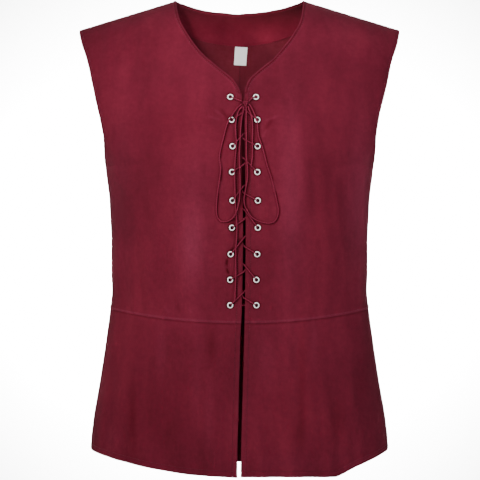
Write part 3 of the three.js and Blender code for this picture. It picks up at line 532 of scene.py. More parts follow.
# Strokes of painted shade and painted highlight along sharp creases and beside the slit, laid as
# the creases are; the last value is how much paler the cloth is, in thousandths.
paintedCreaseLight = {
    "front": [
        (-28, -165, -14, -184, 1, 2.6, -260), (-50, -177, -25, -184, 1, 2.4, 180),
        (-37, -167, -20, -181, 1, 1.8, 200), (49, -180, 36, -199, -1, 2.6, -260),
        (59, -177, 33, -186, -1, 2.4, 200), (41, -196, 33, -213, 1, 2.0, 160),
        (-2.8, -166, -1.2, -230, 0, 2.4, -420), (5, -355, -6.5, -367, 1, 1.6, -600),
        (-6.5, -367, -16.7, -384, 1, 1.6, -700), (-16.7, -384, -18.2, -398, 1, 1.6, -800),
        (-18.2, -398, -14.5, -409, 1, 1.6, -700), (-110, -455, -100, -466, 0, 2, 150),
        (-92, -452, -85, -465, 0, 2, -150), (-75, -454, -68, -467, 0, 2, 150),
        (-58, -452, -50, -462, 0, 2, -120), (14, -205, 16, -240, 0, 3, -160),
        (-7, -320, -9, -360, 1, 2.4, -200)],
    "back": [(-40, -455, -32, -466, 0, 2, 140), (52, -450, 60, -464, 0, 2, -140)],
}
creasesOf = {"front": frontCreases, "back": backCreases}
strokeTaper = 0.3
# Painted shade: a dark ring round each eyelet, and a painted shadow beside the lace, on its lower right.
paintedShadeRound = {"ringAt": 0.0050, "ringHalf": 0.0012, "ring": -0.70, "laceReach": 0.075,
            "laceRight": 0.0011, "laceDown": 0.0007, "laceHalf": 0.0015, "lace": -0.82}
# Painted highlight along the waist seam's ridge and on the roll of the neck edge, and painted shade
# beside them:
# how far in, half width and how much paler.
waistPaintedLight = {"waistAbove": (0.0017, 0.0012, 0.60), "waistBelow": (0.0014, 0.0010, -0.30)}
neckPaintedLight = [(0.0007, 0.0008, 0.30), (0.0026, 0.0010, -0.30), (0.0056, 0.0010, 0.14)]
laceLines = []  # the lace's stretches in front of the cloth, noted as it is laid
farMark = 0.05  # a distance that leaves no mark


def strokeHeight(stroke, x, z):
    x0, z0, x1, z1, bow, spread, rise = [value * mm for value in stroke]
    length = math.hypot(x1 - x0, z1 - z0)
    along = ((x - x0) * (x1 - x0) + (z - z0) * (z1 - z0)) / length ** 2
    across = ((x - x0) * (z1 - z0) - (z - z0) * (x1 - x0)) / length
    share = np.clip(along, 0.0, 1.0)
    away = across - bow * 4 * share * (1 - share)
    past = (along - share) * length
    taper = smoothStep(share / strokeTaper) * smoothStep((1 - share) / strokeTaper)
    return rise * taper * bump(away / spread) * bump(past / spread)


def napAndPaintedLightAt(side, x, z):
    # painted light and shade on the cloth, with a little of the nap's own tone
    paler = np.zeros_like(x)
    for midX, midZ, wide, high, rise in napAndPaintedLightPatches[side]:
        away = ((x * 1000 - midX) / wide) ** 2 + ((z * 1000 - midZ) / high) ** 2
        paler += rise * np.exp(-away)
    for stroke in paintedCreaseLight[side]:
        paler += strokeHeight(stroke, x, z)
    if side == "front":
        # a painted shade ring round each eyelet and painted shadows beside the lace
        for row in eyeletRows:
            for column in (1, 2):
                away = np.hypot(x - row[column], z - row[0]) - paintedShadeRound["ringAt"]
                paler += paintedShadeRound["ring"] * bump(away / paintedShadeRound["ringHalf"])
        near = np.abs(x) < paintedShadeRound["laceReach"]
        paler[near] += laceShade(x[near], z[near])
    return paler


def laceShade(x, z):
    # the darkest painted shadow of any lace that passes close by
    away = np.full(x.shape, farMark)
    points = np.stack([x - paintedShadeRound["laceRight"], z + paintedShadeRound["laceDown"]], axis=-1)
    for first, last in laceLines:
        stretch = last - first
        share = np.clip((points - first) @ stretch / (stretch @ stretch), 0, 1)
        miss = points - first - share[:, None] * stretch
        away = np.minimum(away, np.hypot(miss[:, 0], miss[:, 1]))
    return paintedShadeRound["lace"] * bump(away / paintedShadeRound["laceHalf"])


ripples = {"count": 26, "rise": 0.00016, "shortest": 0.018, "longest": 0.070, "lean": 0.35, "seed": 11}
rng = np.random.default_rng(ripples["seed"])
rippleLengths = rng.uniform(ripples["shortest"], ripples["longest"], ripples["count"])
rippleTurns = rng.uniform(0, math.pi, ripples["count"])
ripplePhases = rng.uniform(0, 2 * math.pi, ripples["count"])


def rippleHeight(x, z):
    # the cloth's slight unevenness, mostly upright, since the cloth hangs
    height = np.zeros_like(x)
    for length, turn, phase in zip(rippleLengths, rippleTurns, ripplePhases):
        way = x * math.cos(turn) + z * math.sin(turn) * ripples["lean"]
        height += np.sin(way * 2 * math.pi / length + phase) * ripples["rise"]
    return height


def reliefAt(side, x, z):
    x, z = np.broadcast_arrays(np.asarray(x, float), np.asarray(z, float))
    height = rippleHeight(x, z)
    for stroke in creasesOf[side]:
        height = height + strokeHeight(stroke, x, z)
    return height


bands = {  # sewn edges: how far in the topstitching lies, and what the turned cloth adds
    "slitStitch": 0.0072, "neckStitch": 0.0042, "armStitch": 0.0046, "hemStitch": 0.0088,
    "rise": 0.00045, "fall": 0.0016, "edgeRound": 0.0005, "edgeHalf": 0.0012,
    "grooveDepth": 0.0004, "grooveHalf": 0.0011, "puckerRise": 0.00022, "puckerHalf": 0.0075,
    "rollRise": 0.0007, "rollAt": 0.0017, "rollHalf": 0.0012,
    "waistStitch": 0.0030, "waistRise": 0.0008, "waistFold": 0.0062, "waistFall": 0.002,
    "waistTuck": 0.0012, "seamDepth": 0.0009, "seamHalf": 0.0024, "seamFade": 0.004,
    "planeFade": 0.014, "planeDepth": 0.0003, "turnFrom": 0.15, "turnFade": 0.5,
}
puckerWaves = [(640, 380, 0.0, 0.6), (-410, 910, 1.3, 0.4)]  # radians a metre in x and z, phase, share


def bandHeight(away, stitch):
    raised = smoothStep((stitch + bands["fall"] - away) / bands["fall"]) * bands["rise"]
    groove = bump((away - stitch) / bands["grooveHalf"]) * bands["grooveDepth"]
    rounded = bump(away / bands["edgeHalf"]) * bands["edgeRound"]
    return raised - groove - rounded


def puckerHeight(x, z, away):
    wave = sum(np.sin(x * inX + z * inZ + phase) * share for inX, inZ, phase, share in puckerWaves)
    return wave * bands["puckerRise"] * bump(away / bands["puckerHalf"])


def frontY(x, z):
    hand = "right" if x < (float(edgeAt["right"](z)) + float(edgeAt["left"](z))) / 2 else "left"
    away = abs(x - float(edgeAt[hand](z)))
    out = float(reliefAt("front", x, z)) + float(bandHeight(away, bands["slitStitch"]))
    return float(clothPlace("front", x, z, max(out, -0.5 * mm))[1])


def reachOf(line):
    return np.concatenate([[0], np.cumsum(np.linalg.norm(np.diff(line, axis=0), axis=1))])


def alongLine(line, reach, where):
    return np.stack([np.interp(where, reach, line[:, axis]) for axis in range(3)], axis=1)


def smoothRoute(points, step, perSpan=40):
    # a Catmull-Rom curve through the points, in even steps
    points = np.array(points)
    ends = np.concatenate([[2 * points[0] - points[1]], points, [2 * points[-1] - points[-2]]])
    share = np.linspace(0, 1, perSpan, endpoint=False)[:, None]
    dense = []
    for a, b, c, d in zip(ends, ends[1:], ends[2:], ends[3:]):
        dense.append(0.5 * (2 * b + (c - a) * share + (2 * a - 5 * b + 4 * c - d) * share ** 2
                            + (3 * b - a - 3 * c + d) * share ** 3))
    dense = np.concatenate(dense + [points[-1:]])
    reach = reachOf(dense)
    at = np.linspace(0, reach[-1], max(int(reach[-1] / step), 8) + 1)
    return alongLine(dense, reach, at), reach[-1]


def gridShape(points, closeColumns=False, closeRows=False, cutEvery=0):
    # a bmesh grid moved onto points[row][column], its first and last lines welded where closed;
    # cutEvery parts it again after every so many rows
    rows, columns = points.shape[:2]
    shape = bmesh.new()
    bmesh.ops.create_grid(shape, x_segments=columns - 1, y_segments=rows - 1, size=1.0)
    shape.verts.ensure_lookup_table()
    flat = points.reshape(-1, 3)
    order = np.array([(vert.co.y, vert.co.x) for vert in shape.verts])
    rowOf = np.rint((order[:, 0] + 1) / 2 * (rows - 1)).astype(int)
    columnOf = np.rint((order[:, 1] + 1) / 2 * (columns - 1)).astype(int)
    place = rowOf * columns + columnOf
    if cutEvery:
        between = [face for face in shape.faces
                   if min(rowOf[vert.index] for vert in face.verts) % cutEvery == cutEvery - 1]
    for vert, at in zip(shape.verts, place):
        vert.co = flat[at]
    if cutEvery:
        bmesh.ops.delete(shape, geom=between, context="FACES")
    if closeColumns or closeRows:
        bmesh.ops.remove_doubles(shape, verts=shape.verts, dist=1e-7)
    return shape, place


def laceShape(path):
    # a twisted cord: the section has two lobes, which turn as the cord runs
    tangent = np.gradient(path, axis=0)
    tangent /= np.linalg.norm(tangent, axis=1, keepdims=True)
    side = Vector(tangent[0]).orthogonal().normalized()
    turns = np.linspace(0, 2 * math.pi, lace["sides"] + 1)
    rings = []
    for index, centre in enumerate(path):
        ahead = Vector(tangent[index])
        side = (side - ahead * side.dot(ahead)).normalized()
        other = ahead.cross(side)
        twist = index * lace["step"] / lace["twist"] * math.pi
        radius = lace["radius"] * (1 + lace["twistDepth"] * np.cos(2 * (turns - twist)))
        if index in (0, len(path) - 1):
            radius = radius * lace["endTaper"]
        ring = (centre + np.outer(radius * np.cos(turns), np.array(side))
                + np.outer(radius * np.sin(turns), np.array(other)))
        ring[-1] = ring[0]
        rings.append(ring)
    shape, _ = gridShape(np.array(rings), closeColumns=True)
    bmesh.ops.holes_fill(shape, edges=[edge for edge in shape.edges if edge.is_boundary])
    return shape


def addLace(name, points, *nodes):
    path, length = smoothRoute(points, lace["step"])
    coarse = path[::3]
    inFront = -coarse[:, 1] > clothDepth("front", coarse[:, 0], coarse[:, 2]) + 0.5 * mm
    for first, last, shown, alsoShown in zip(coarse, coarse[1:], inFront, inFront[1:]):
        if shown and alsoShown:
            laceLines.append((first[::2], last[::2]))
    piece = addPiece(name, smoothMesh(laceShape(path), name), [laceSuede], "lace", *nodes)
    return piece, path, length


for name, route in freeLace.items():
    points = [(x * mm, frontY(x * mm, z * mm) - out * mm, z * mm) for x, z, out in route]
    piece, path, length = addLace("laced_" + name, points, name)
    print("cord", name, round(length, 4))


eyeletColumn = {"right": 1, "left": 2}
otherOf = {"right": "left", "left": "right"}


def climb(row, hand):
    # from a front to the other one's next eyelet above, through the slit
    other = otherOf[hand]
    start = (eyeletRows[row][eyeletColumn[hand]], eyeletRows[row][0])
    goal = (eyeletRows[row - 1][eyeletColumn[other]], eyeletRows[row - 1][0])
    slitZ = start[1] + eyeletRows[row][2 + eyeletColumn[hand]]
    beside = -signOf[hand] * slitPass["beside"]
    nearEdge, farEdge = float(edgeAt[hand](slitZ)), float(edgeAt[other](slitZ))
    slitStart = (nearEdge + beside, slitZ - slitPass["rise"])
    slitEnd = (farEdge - beside, slitZ + slitPass["rise"])

    def between(first, last, distance, out):
        share = distance / math.hypot(last[0] - first[0], last[1] - first[1])
        return mix(first[0], last[0], share), mix(first[1], last[1], share), out
    return [*(between(start, slitStart, *step) for step in passFront),
            (*slitStart, slitPass["nearOut"]), ((nearEdge + farEdge) / 2, slitZ, slitPass["middleOut"]),
            (*slitEnd, slitPass["farOut"]), *(between(goal, slitEnd, *step) for step in passBehind)]


def lacingPoints(hand):
    footX, footZ = eyeletRows[-1][eyeletColumn[hand]], eyeletRows[-1][0]
    middle = (float(edgeAt["right"](footZ)) + float(edgeAt["left"](footZ))) / 2
    route = [(middle + signOf[hand] * slitPass["footMiddle"], footZ, slitPass["footOut"]),
             (mix(middle, footX, slitPass["footShare"]), footZ, slitPass["footOut"])]
    route += [(footX - signOf[hand] * reach, footZ, out) for reach, out in passBehind[1:]]
    for row in range(len(eyeletRows) - 1, 0, -1):
        route += climb(row, hand)
        hand = otherOf[hand]
    topX, topZ = eyeletRows[0][eyeletColumn[hand]], eyeletRows[0][0]
    towards = -signOf[hand]
    route += [(topX + towards * reach, topZ - drop, out) for reach, out, drop in passTop]
    beside, above, out = knot["entry"]
    route.append((knot["x"] - towards * beside, knot["z"] + above, out))
    return [(x, frontY(x, z) - out, z) for x, z, out in route]


for hand in ("right", "left"):
    addLace("laced_strand_from_" + hand, lacingPoints(hand), "lacing_from_" + hand)

# The knot: the same lace wound through itself.
turn = np.linspace(0, 2 * math.pi, 25)
knotCentre = np.array([knot["x"], frontY(knot["x"], knot["z"]) - knot["out"], knot["z"]])
knotPoints = knotCentre + np.stack([
    (np.sin(turn) + 2 * np.sin(2 * turn)) / 3 * knot["reach"][0],
    np.sin(3 * turn) * knot["reach"][1],
    (np.cos(turn) - 2 * np.cos(2 * turn)) / 3 * knot["reach"][2]], axis=1)
addLace("laced_knot", knotPoints, "bow_knot")
print("lace made")

# Eyelets: a rolled front rim, a barrel and a flatter back flange.
eyeletRim = [  # radius and out, in millimetres, once round the metal's section
    (2.5, 0.3), (2.58, 0.66), (2.82, 0.92), (3.2, 1.04), (3.62, 0.99), (4.02, 0.8), (4.34, 0.5),
    (4.5, 0.14), (4.3, 0.02), (2.95, -0.05), (2.95, -1.66), (4.1, -1.74), (4.3, -1.9),
    (4.1, -2.12), (3.0, -2.34), (2.6, -2.2), (2.5, -1.7), (2.5, 0.3),
]
eyeletSides = 40
# polished nickel between these two radii; painted shade elsewhere in front of the third value
eyeletBright = (0.00292, 0.00436, -0.0018)


def eyeletFrame(x, z):
    def place(dx, dz):
        return Vector((x + dx, frontY(x + dx, z + dz), z + dz))
    reach = 4.5 * mm
    across = place(reach, 0) - place(-reach, 0)
    up = place(0, reach) - place(0, -reach)
    return place(0, 0), across.cross(up).normalized(), across.normalized()


for row, (z, rightX, leftX, _, _) in enumerate(eyeletRows):
    for hand, x in (("right", rightX), ("left", leftX)):
        centre, axis, across = eyeletFrame(x, z)
        up = axis.cross(across)
        turns = np.linspace(0, 2 * math.pi, eyeletSides + 1)
        turns[-1] = 0.0
        spokes = np.outer(np.cos(turns), np.array(across)) + np.outer(np.sin(turns), np.array(up))
        rings = np.array([np.array(centre) + np.array(axis) * out * mm + spokes * radius * mm
                          for radius, out in eyeletRim])
        shape, _ = gridShape(rings, closeColumns=True, closeRows=True)
        # the barrel and the rim's inner and outer edges get the painted shade
        for face in shape.faces:
            reach = (face.calc_center_median() - centre).dot(axis)
            wide = (face.calc_center_median() - centre - axis * reach).length
            inPaintedShade = wide < eyeletBright[0] or wide > eyeletBright[1]
            face.material_index = 1 if inPaintedShade and reach > eyeletBright[2] else 0
        node = "eyelet_%s_%d" % (hand, row + 1)
        addPiece("nickel_" + node, smoothMesh(shape, "nickel_" + node), [nickel, nickelPaintedShade],
                 "eyelet", node)
print("eyelets made")


# Cloth panels.
def bodiceLevel(step, plan, topZ):
    sideRows, scyeRows, shoulderRows = plan
    share = np.clip(step / sideRows, 0, 1)
    low = {"inner": mix(cut["waistCentreZ"], cut["underarmZ"], share),
           "outer": mix(cut["waistSideZ"], cut["underarmZ"], share),
           "bend": mix(2.0, 1.0, share), "top": np.zeros_like(share)}
    share = np.clip((step - sideRows) / scyeRows, 0, 1)
    foot = 1 - np.cos(math.pi / 2 * share)
    middle = {"inner": mix(cut["underarmZ"], cut["neckRowZ"], share),
              "outer": cut["underarmZ"] + cut["scyeRise"] * foot,
              "bend": np.ones_like(share), "top": np.zeros_like(share)}
    turned = math.pi / 2 * (1 - np.clip((step - sideRows - scyeRows) / shoulderRows, 0, 1))
    turnZ = cut["underarmZ"] + cut["scyeRise"]
    high = {"inner": mix(topZ, cut["neckRowZ"], 1 - np.cos(turned)),
            "outer": mix(cut["tipZ"], turnZ, 1 - np.cos(turned)),
            "bend": np.ones_like(share), "top": np.cos(turned)}
    below, above = step <= sideRows, step > sideRows + scyeRows
    return {key: np.where(below, low[key], np.where(above, high[key], middle[key])) for key in low}


frontPlan, backPlan = (7, 4, 9), (5, 4, 8)  # rows beside the body, up the armhole, over the shoulder
neckStart = 11.6  # the row of the front plan where the slit ends and the neck begins
backNeckShare = 0.43  # the share of the back's columns that lies under the neck


def backNeckZ(x):
    return -cut["backNeckDrop"] * (1 - (x / cut["neckHalfWidth"]) ** 2)


def frontBodicePlace(hand):
    def place(along, up):
        level = bodiceLevel(up * sum(frontPlan), frontPlan, 0.0)
        across = np.sin(math.pi / 2 * along ** cut["bodiceCrowd"])
        x = mix(edgeAt[hand](level["inner"]), signOf[hand] * halfWidthAt(level["outer"]), across)
        return x, mix(level["inner"], level["outer"], across ** level["bend"])
    return place


def backBodicePlace(hand):
    share = cut["neckHalfWidth"] / cut["tipX"]

    def place(along, up):
        level = bodiceLevel(up * sum(backPlan), backPlan, -cut["backNeckDrop"])
        neckPart = share * np.sin(math.pi / 2 * np.clip(along / backNeckShare, 0, 1))
        first = math.asin(share)
        past = np.clip((along - backNeckShare) / (1 - backNeckShare), 0, 1)
        across = np.where(along <= backNeckShare, neckPart, np.sin(mix(first, math.pi / 2, past)))
        overlap = cut["seamOverlap"] / 2 * (1 - across)
        x = signOf[hand] * (halfWidthAt(level["outer"]) * across - overlap)
        topX = cut["tipX"] * across - overlap
        topEdge = np.where(topX < cut["neckHalfWidth"], backNeckZ(topX), ridgeZ(topX))
        lift = topEdge - mix(-cut["backNeckDrop"], cut["tipZ"], across)
        return x, mix(level["inner"], level["outer"], across ** level["bend"]) + level["top"] * lift
    return place


def waistLine(across):
    # the skirt runs a little way up behind the bodice
    return mix(cut["waistCentreZ"], cut["waistSideZ"], across ** 2) + cut["waistLap"]


def frontSkirtPlace(hand):
    def place(along, up):
        across = np.sin(math.pi / 2 * along ** cut["skirtCrowd"])
        z = mix(hemAt[hand](across), waistLine(across), up)
        return mix(edgeAt[hand](z), signOf[hand] * halfWidthAt(z), across), z
    return place


def backSkirtPlace(along, up):
    turned = math.pi / 2 * (2 * along - 1)
    across = np.abs(np.sin(turned))
    z = mix(hemAt["back"](across), waistLine(across), up)
    return np.sign(turned) * across * halfWidthAt(z), z


def awayFrom(points, line):
    # the distance from every point to the nearest stretch of a line of points
    flat = points.reshape(-1, 3)
    nearest = np.full(len(flat), np.inf)
    for first, last in zip(line, line[1:]):
        stretch = last - first
        share = np.clip((flat - first) @ stretch / max(stretch @ stretch, 1e-12), 0, 1)
        miss = flat - first - share[:, None] * stretch
        nearest = np.minimum(nearest, np.einsum("ij,ij->i", miss, miss))
    return np.sqrt(nearest).reshape(points.shape[:2])


def crossing(field, points, level):
    # where each line of the grid, walked from its start, first passes a level of the field
    found = []
    for values, line in zip(field, points):
        past = np.nonzero((values[:-1] < level) & (values[1:] >= level))[0]
        if len(past) and values[0] < level:
            low = past[0]
            share = (level - values[low]) / (values[low + 1] - values[low])
            found.append(mix(line[low], line[low + 1], share))
    return np.array(found)


panelPlan = {  # columns, rows
    "front_bodice": (128, 260), "back_bodice": (104, 187),
    "front_skirt": (120, 104), "back_skirt": (220, 96),
}
everyOne = slice(None)
threadLines = {"front": [], "back": []}


def threadLine(points, field, key, stitch):
    if isinstance(key[1], int):
        step = 1 if key[1] == 0 else -1
        return crossing(field[key[0], ::step], points[key[0], ::step], stitch)
    step = 1 if key[0] == 0 else -1
    across = key[1]
    return crossing(field[::step, across].T, points[::step, across].transpose(1, 0, 2), stitch)


def panelPoints(kind, side, place, edges, seams):
    columns, rows = panelPlan[kind]
    along, up = np.meshgrid(np.linspace(0, 1, columns + 1), np.linspace(0, 1, rows + 1))
    x, z = place(along, up)
    bare, normal = clothPlace(side, x, z, 0.0), clothNormal(side, x, z)
    # the relief runs out where the cloth turns to the side
    height = reliefAt(side, x, z) * smoothStep(
        (np.abs(normal[..., 1]) - bands["turnFrom"]) / bands["turnFade"])
    napAndPaintedLight = napAndPaintedLightAt(side, x, z)
    seamAway = np.full(x.shape, farMark)
    sewn = []
    for key, stitch in edges:
        away = awayFrom(bare, bare[key])
        sewn.append((key, stitch, away))
        height += bandHeight(away, stitch) + puckerHeight(x, z, away - stitch)
        if stitch == bands["neckStitch"]:
            height += bump((away - bands["rollAt"]) / bands["rollHalf"]) * bands["rollRise"]
            # a painted highlight on the neck edge's roll and painted shade beside it
            for at, half, rise in neckPaintedLight:
                napAndPaintedLight += rise * bump((away - at) / half)
    for key, look in seams:
        away = awayFrom(bare, bare[key])
        seamAway = np.minimum(seamAway, away)
        # a painted highlight on the waist seam's ridge and painted shade below it
        if look in waistPaintedLight:
            at, half, rise = waistPaintedLight[look]
            napAndPaintedLight += rise * bump((away - at) / half)
        if look == "plane":
            # the outline stays true along the seams that show edge on
            height *= smoothStep(away / bands["planeFade"])
            height -= bump(away / bands["seamHalf"]) * bands["planeDepth"]
        elif look == "waistAbove":
            # the allowances are turned up under the bodice and stitched down
            height += bands["waistRise"] * smoothStep((bands["waistFold"] - away) / bands["waistFall"])
            height -= bump(away / bands["edgeHalf"]) * bands["waistRise"]
            height += puckerHeight(x, z, away)
            height -= bump((away - bands["waistStitch"]) / bands["grooveHalf"]) * bands["grooveDepth"]
            sewn.append((key, bands["waistStitch"], away))
        elif look == "waistBelow":
            height -= bump(away / bands["seamHalf"]) * bands["waistTuck"]
            height += puckerHeight(x, z, away)
        else:
            height -= bump(away / bands["seamHalf"]) * bands["seamDepth"]
            height += puckerHeight(x, z, away) * smoothStep(away / bands["seamFade"])
    points = bare + normal * height[..., None]
    stitchAway = np.full(x.shape, farMark)
    for key, stitch, away in sewn:
        stitchAway = np.minimum(stitchAway, np.abs(away - stitch))
        line = threadLine(points, away, key, stitch)
        if len(line) > 2:
            threadLines[side].append(line)
    return points, {"stitch": stitchAway, "seam": seamAway, "napAndPaintedLight": napAndPaintedLight}


def thicken(piece, thickness, roundness):
    wall = piece.modifiers.new("wall", "SOLIDIFY")
    wall.thickness = thickness
    wall.offset = -1.0
    wall.material_offset = 1
    edge = piece.modifiers.new("roundedEdge", "BEVEL")
    edge.width = roundness
    edge.segments = 2
    edge.limit_method = "ANGLE"
    edge.angle_limit = math.radians(50)


def punch(shape, x, z, radius):
    # opens the cloth behind an eyelet and rounds the hole's edge
    centre = Vector((x, frontY(x, z), z))
    near = [face for face in shape.faces if (face.calc_center_median() - centre).length < radius]
    edge = {vert for face in near for vert in face.verts}
    bmesh.ops.delete(shape, geom=near, context="FACES")
    for vert in edge:
        if vert.is_valid and vert.is_boundary:
            way = Vector((vert.co.x - x, 0, vert.co.z - z)).normalized() * radius
            vert.co.x, vert.co.z = x + way.x, z + way.z


def addSheet(name, points, marks, materials, slot, node, thickness, roundness, holes=()):
    shape, order = gridShape(points)
    for mark, values in marks.items():
        layer = shape.verts.layers.float.new(mark)
        for vert, value in zip(shape.verts, values.ravel()[order]):
            vert[layer] = value
    for x, z in holes:
        punch(shape, x, z, cut["holeRadius"])
    piece = addPiece(name, smoothMesh(shape, name, sheet=True), materials, slot, node)
    thicken(piece, thickness, roundness)
    return piece


def addPanel(kind, ending, place, edges, seams, holes=()):
    points, marks = panelPoints(kind, kind.split("_")[0], place, edges, seams)
    node = kind + ending
    piece = addSheet("suede_" + node, points, marks, [suede, suedeBack], "suede", node,
                     cut["cloth"], cut["clothRound"], holes)


frontRows, backRows = panelPlan["front_bodice"][1], panelPlan["back_bodice"][1]
frontArm = round(frontRows * frontPlan[0] / sum(frontPlan))
backArm = round(backRows * backPlan[0] / sum(backPlan))
neckRow = round(frontRows * neckStart / sum(frontPlan))
neckColumn = round(panelPlan["back_bodice"][0] * backNeckShare)
for hand in ("right", "left"):
    addPanel("front_bodice", "_" + hand, frontBodicePlace(hand),
             [((slice(0, neckRow + 1), 0), bands["slitStitch"]),
              ((slice(neckRow, None), 0), bands["neckStitch"]),
              ((slice(frontArm, None), -1), bands["armStitch"])],
             [((slice(0, frontArm + 1), -1), "plane"), ((-1, everyOne), "plane"),
              ((0, everyOne), "waistAbove")],
             [(row[eyeletColumn[hand]], row[0]) for row in eyeletRows])
    addPanel("front_skirt", "_" + hand, frontSkirtPlace(hand),
             [((everyOne, 0), bands["slitStitch"]), ((0, everyOne), bands["hemStitch"])],
             [((everyOne, -1), "plane"), ((-1, everyOne), "waistBelow")])
    addPanel("back_bodice", "_" + hand, backBodicePlace(hand),
             [((-1, slice(0, neckColumn + 1)), bands["neckStitch"]),
              ((slice(backArm, None), -1), bands["armStitch"])],
             [((everyOne, 0), "pressed"), ((slice(0, backArm + 1), -1), "plane"),
              ((-1, slice(neckColumn, None)), "plane"), ((0, everyOne), "waistAbove")])
addPanel("back_skirt", "", backSkirtPlace, [((0, everyOne), bands["hemStitch"])],
         [((everyOne, 0), "plane"), ((everyOne, -1), "plane"), ((-1, everyOne), "waistBelow")])
print("panels made")

neckFacing = {"sideX": 0.138, "centreZ": -0.060, "inset": 0.0022, "columns": 150, "rows": 26,
              "round": 0.0003, "sweep": 88, "topGap": 0.0005, "stitch": 0.003,
              "ridgeHalf": 0.0012, "ridge": 0.0004, "napAndPaintedLight": 0.1, "facingLightZ": -0.05, "facingLightHalf": 0.02}


def facingPoints():
    # a shaped band against the back's inner face, its top edge just under the neckline
    turned, up = np.meshgrid(np.linspace(-1, 1, neckFacing["columns"] + 1),
                             np.linspace(0, 1, neckFacing["rows"] + 1))
    share = np.sin(math.radians(neckFacing["sweep"]) * turned)
    upperX, lowerX = cut["neckHalfWidth"] * share, neckFacing["sideX"] * share
    upperZ = backNeckZ(upperX) - neckFacing["topGap"]
    lowerZ = mix(neckFacing["centreZ"], ridgeZ(neckFacing["sideX"]), share ** 2)
    x, z = mix(lowerX, upperX, up), mix(lowerZ, upperZ, up)
    bare = clothPlace("back", x, z, 0.0)
    away = awayFrom(bare, bare[0]) - neckFacing["stitch"]
    ridge = neckFacing["ridge"] * bump(away / neckFacing["ridgeHalf"])
    height = reliefAt("back", x, z) - neckFacing["inset"] + ridge
    # a painted highlight across the facing's lower middle
    napAndPaintedLight = neckFacing["napAndPaintedLight"] * bump((z - neckFacing["facingLightZ"]) / neckFacing["facingLightHalf"])
    marks = {"stitch": np.abs(away), "seam": np.full(x.shape, farMark), "napAndPaintedLight": napAndPaintedLight}
    return bare + clothNormal("back", x, z) * height[..., None], marks


points, marks = facingPoints()
facingPiece = addSheet("suede_neck_facing", points, marks, [suedeFacingPaintedLight, suedeFacingPaintedLight], "facing",
                       "back_neck_facing", cut["facingCloth"], neckFacing["round"])

careLabel = {"x": 0.0018, "z": -0.0743, "width": 0.0189, "height": 0.0272, "tilt": -4.0,
             "thickness": 0.0005, "round": 0.00015, "inset": 0.0027, "columns": 16, "rows": 24,
             "footCurl": 0.0016, "cornerCurl": 0.0010, "cornerFrom": 0.4}


def labelPoints():
    across, up = np.meshgrid(np.linspace(-0.5, 0.5, careLabel["columns"] + 1),
                             np.linspace(-0.5, 0.5, careLabel["rows"] + 1))
    tilt = math.radians(careLabel["tilt"])
    acrossLabel, upLabel = across * careLabel["width"], up * careLabel["height"]
    x = careLabel["x"] + acrossLabel * math.cos(tilt) - upLabel * math.sin(tilt)
    z = careLabel["z"] + acrossLabel * math.sin(tilt) + upLabel * math.cos(tilt)
    # it hangs a little free at its foot and curls at one corner
    corner = (across - up - careLabel["cornerFrom"]) / (1 - careLabel["cornerFrom"])
    curl = careLabel["footCurl"] * smoothStep(0.5 - up) + careLabel["cornerCurl"] * smoothStep(corner)
    return clothPlace("back", x, z, reliefAt("back", x, z) - careLabel["inset"] - curl)


points = labelPoints()
labelPiece = addSheet("ribbon_label", points, {}, [satin, satin], "label", "care_label",
                      careLabel["thickness"], careLabel["round"])
print("facing and label made")

thread = {"length": 0.0028, "gap": 0.0008, "radius": 0.00026, "raise": 0.00012, "sides": 6,
          "first": 0.001, "shortest": 0.7}
stitchProfile = [(-1.0, 0.02), (-0.82, 0.75), (0.0, 1.0), (0.82, 0.75), (1.0, 0.02)]


def addStitches(side):
    # each stitch is a short length of sewing thread, pulled slightly into the cloth
    starts, ends = [], []
    for line in threadLines[side]:
        reach = reachOf(line)
        at = np.arange(thread["first"], reach[-1] - thread["length"], thread["length"] + thread["gap"])
        for where, found in ((at, starts), (at + thread["length"], ends)):
            found.append(alongLine(line, reach, where))
    starts, ends = np.concatenate(starts), np.concatenate(ends)
    whole = np.linalg.norm(ends - starts, axis=1) > thread["length"] * thread["shortest"]
    starts, ends = starts[whole], ends[whole]
    middle, half = (starts + ends) / 2, (ends - starts) / 2
    normal = clothNormal(side, middle[:, 0], middle[:, 2])
    middle = middle + normal * thread["raise"]
    across = np.cross(normal, half)
    across /= np.linalg.norm(across, axis=1, keepdims=True)
    turns = np.linspace(0, 2 * math.pi, thread["sides"] + 1)
    turns[-1] = 0.0
    spokes = (np.cos(turns)[None, :, None] * normal[:, None]
              + np.sin(turns)[None, :, None] * across[:, None])
    rings = [(middle + half * along)[:, None] + spokes * thread["radius"] * wide
             for along, wide in stitchProfile]
    rings = np.stack(rings, axis=1).reshape(-1, len(turns), 3)
    shape, _ = gridShape(rings, closeColumns=True, cutEvery=len(stitchProfile))
    name = "stitching_" + side
    addPiece(name, smoothMesh(shape, name), [threadPolyester], "suede")
    print(name, len(starts))


addStitches("front")
addStitches("back")

# A plain white floor and wall, and soft light from the upper left in front.
stageSetup = {"wallY": 4.6, "floorZ": -1.6, "size": 14.0, "air": 0.09}


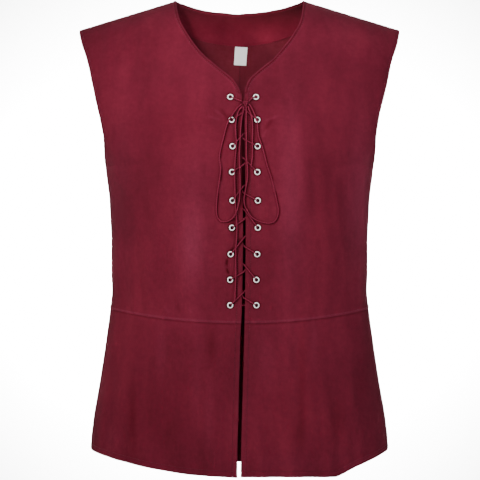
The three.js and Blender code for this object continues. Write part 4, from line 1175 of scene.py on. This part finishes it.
def addPlane(name, place, turn, size, material):
    shape = bmesh.new()
    bmesh.ops.create_grid(shape, x_segments=1, y_segments=1, size=size / 2)
    bmesh.ops.rotate(shape, verts=shape.verts, cent=(0, 0, 0), matrix=turn)
    bmesh.ops.translate(shape, verts=shape.verts, vec=place)
    mesh = meshOf(shape, name)
    mesh.materials.append(material)
    plane = bpy.data.objects.new(name, mesh)
    scene.collection.objects.link(plane)


paper, _, paperShader = newMaterial("whitePaper")  # seamless photo paper, matte white
setSockets(paperShader, {"Base Color": toLinear("#fbfbfb"), "Roughness": 0.9})
addPlane("studioFloor", (0, 0, stageSetup["floorZ"]), Matrix.Identity(3), stageSetup["size"], paper)
addPlane("studioWall", (0, stageSetup["wallY"], 0), Matrix.Rotation(math.pi / 2, 3, "X"),
         stageSetup["size"], paper)

lights = {  # place, what it points at, width, spread in degrees, power in watts, colour
    "key": ((-2.5, -2.4, 0.75), (0.0, 0.0, -0.34), 0.4, 40, 6.2, "#fff8f4"),
    "fill": ((2.6, -2.3, 0.1), (0.0, 0.0, -0.36), 0.9, 50, 6.2, "#fbfaff"),
    "frontLeft": ((-0.80, -3.3, 0.40), (0.0, 0.0, -0.20), 0.3, 40, 2.3, "#ffffff"),
    "frontRight": ((0.85, -3.3, 0.15), (0.0, 0.0, -0.20), 0.3, 40, 1.5, "#ffffff"),
    "neck": ((-0.60, -3.0, 0.50), (0.0, 0.1, -0.07), 0.2, 10, 0.23, "#ffffff"),
    "wallLeft": ((-1.1, 3.0, -0.3), (-0.1, 4.6, -0.36), 1.0, 80, 150, "#ffffff"),
    "wallRight": ((1.1, 3.0, -0.3), (0.1, 4.6, -0.36), 1.0, 80, 150, "#ffffff"),
}
for name, (place, target, size, spread, power, colour) in lights.items():
    data = bpy.data.lights.new(name, "AREA")
    data.shape = "DISK"
    data.size = size
    data.spread = math.radians(spread)
    data.energy = power
    data.color = toLinear(colour)[:3]
    lamp = bpy.data.objects.new(name, data)
    lamp.location = place
    lamp.rotation_euler = (Vector(target) - Vector(place)).to_track_quat("-Z", "Y").to_euler()
    scene.collection.objects.link(lamp)

world = bpy.data.worlds.new("studioAir")
world.use_nodes = True
setSockets(world.node_tree.nodes["Background"], {"Color": (1, 1, 1, 1), "Strength": stageSetup["air"]})
scene.world = world
print("stage and light set")
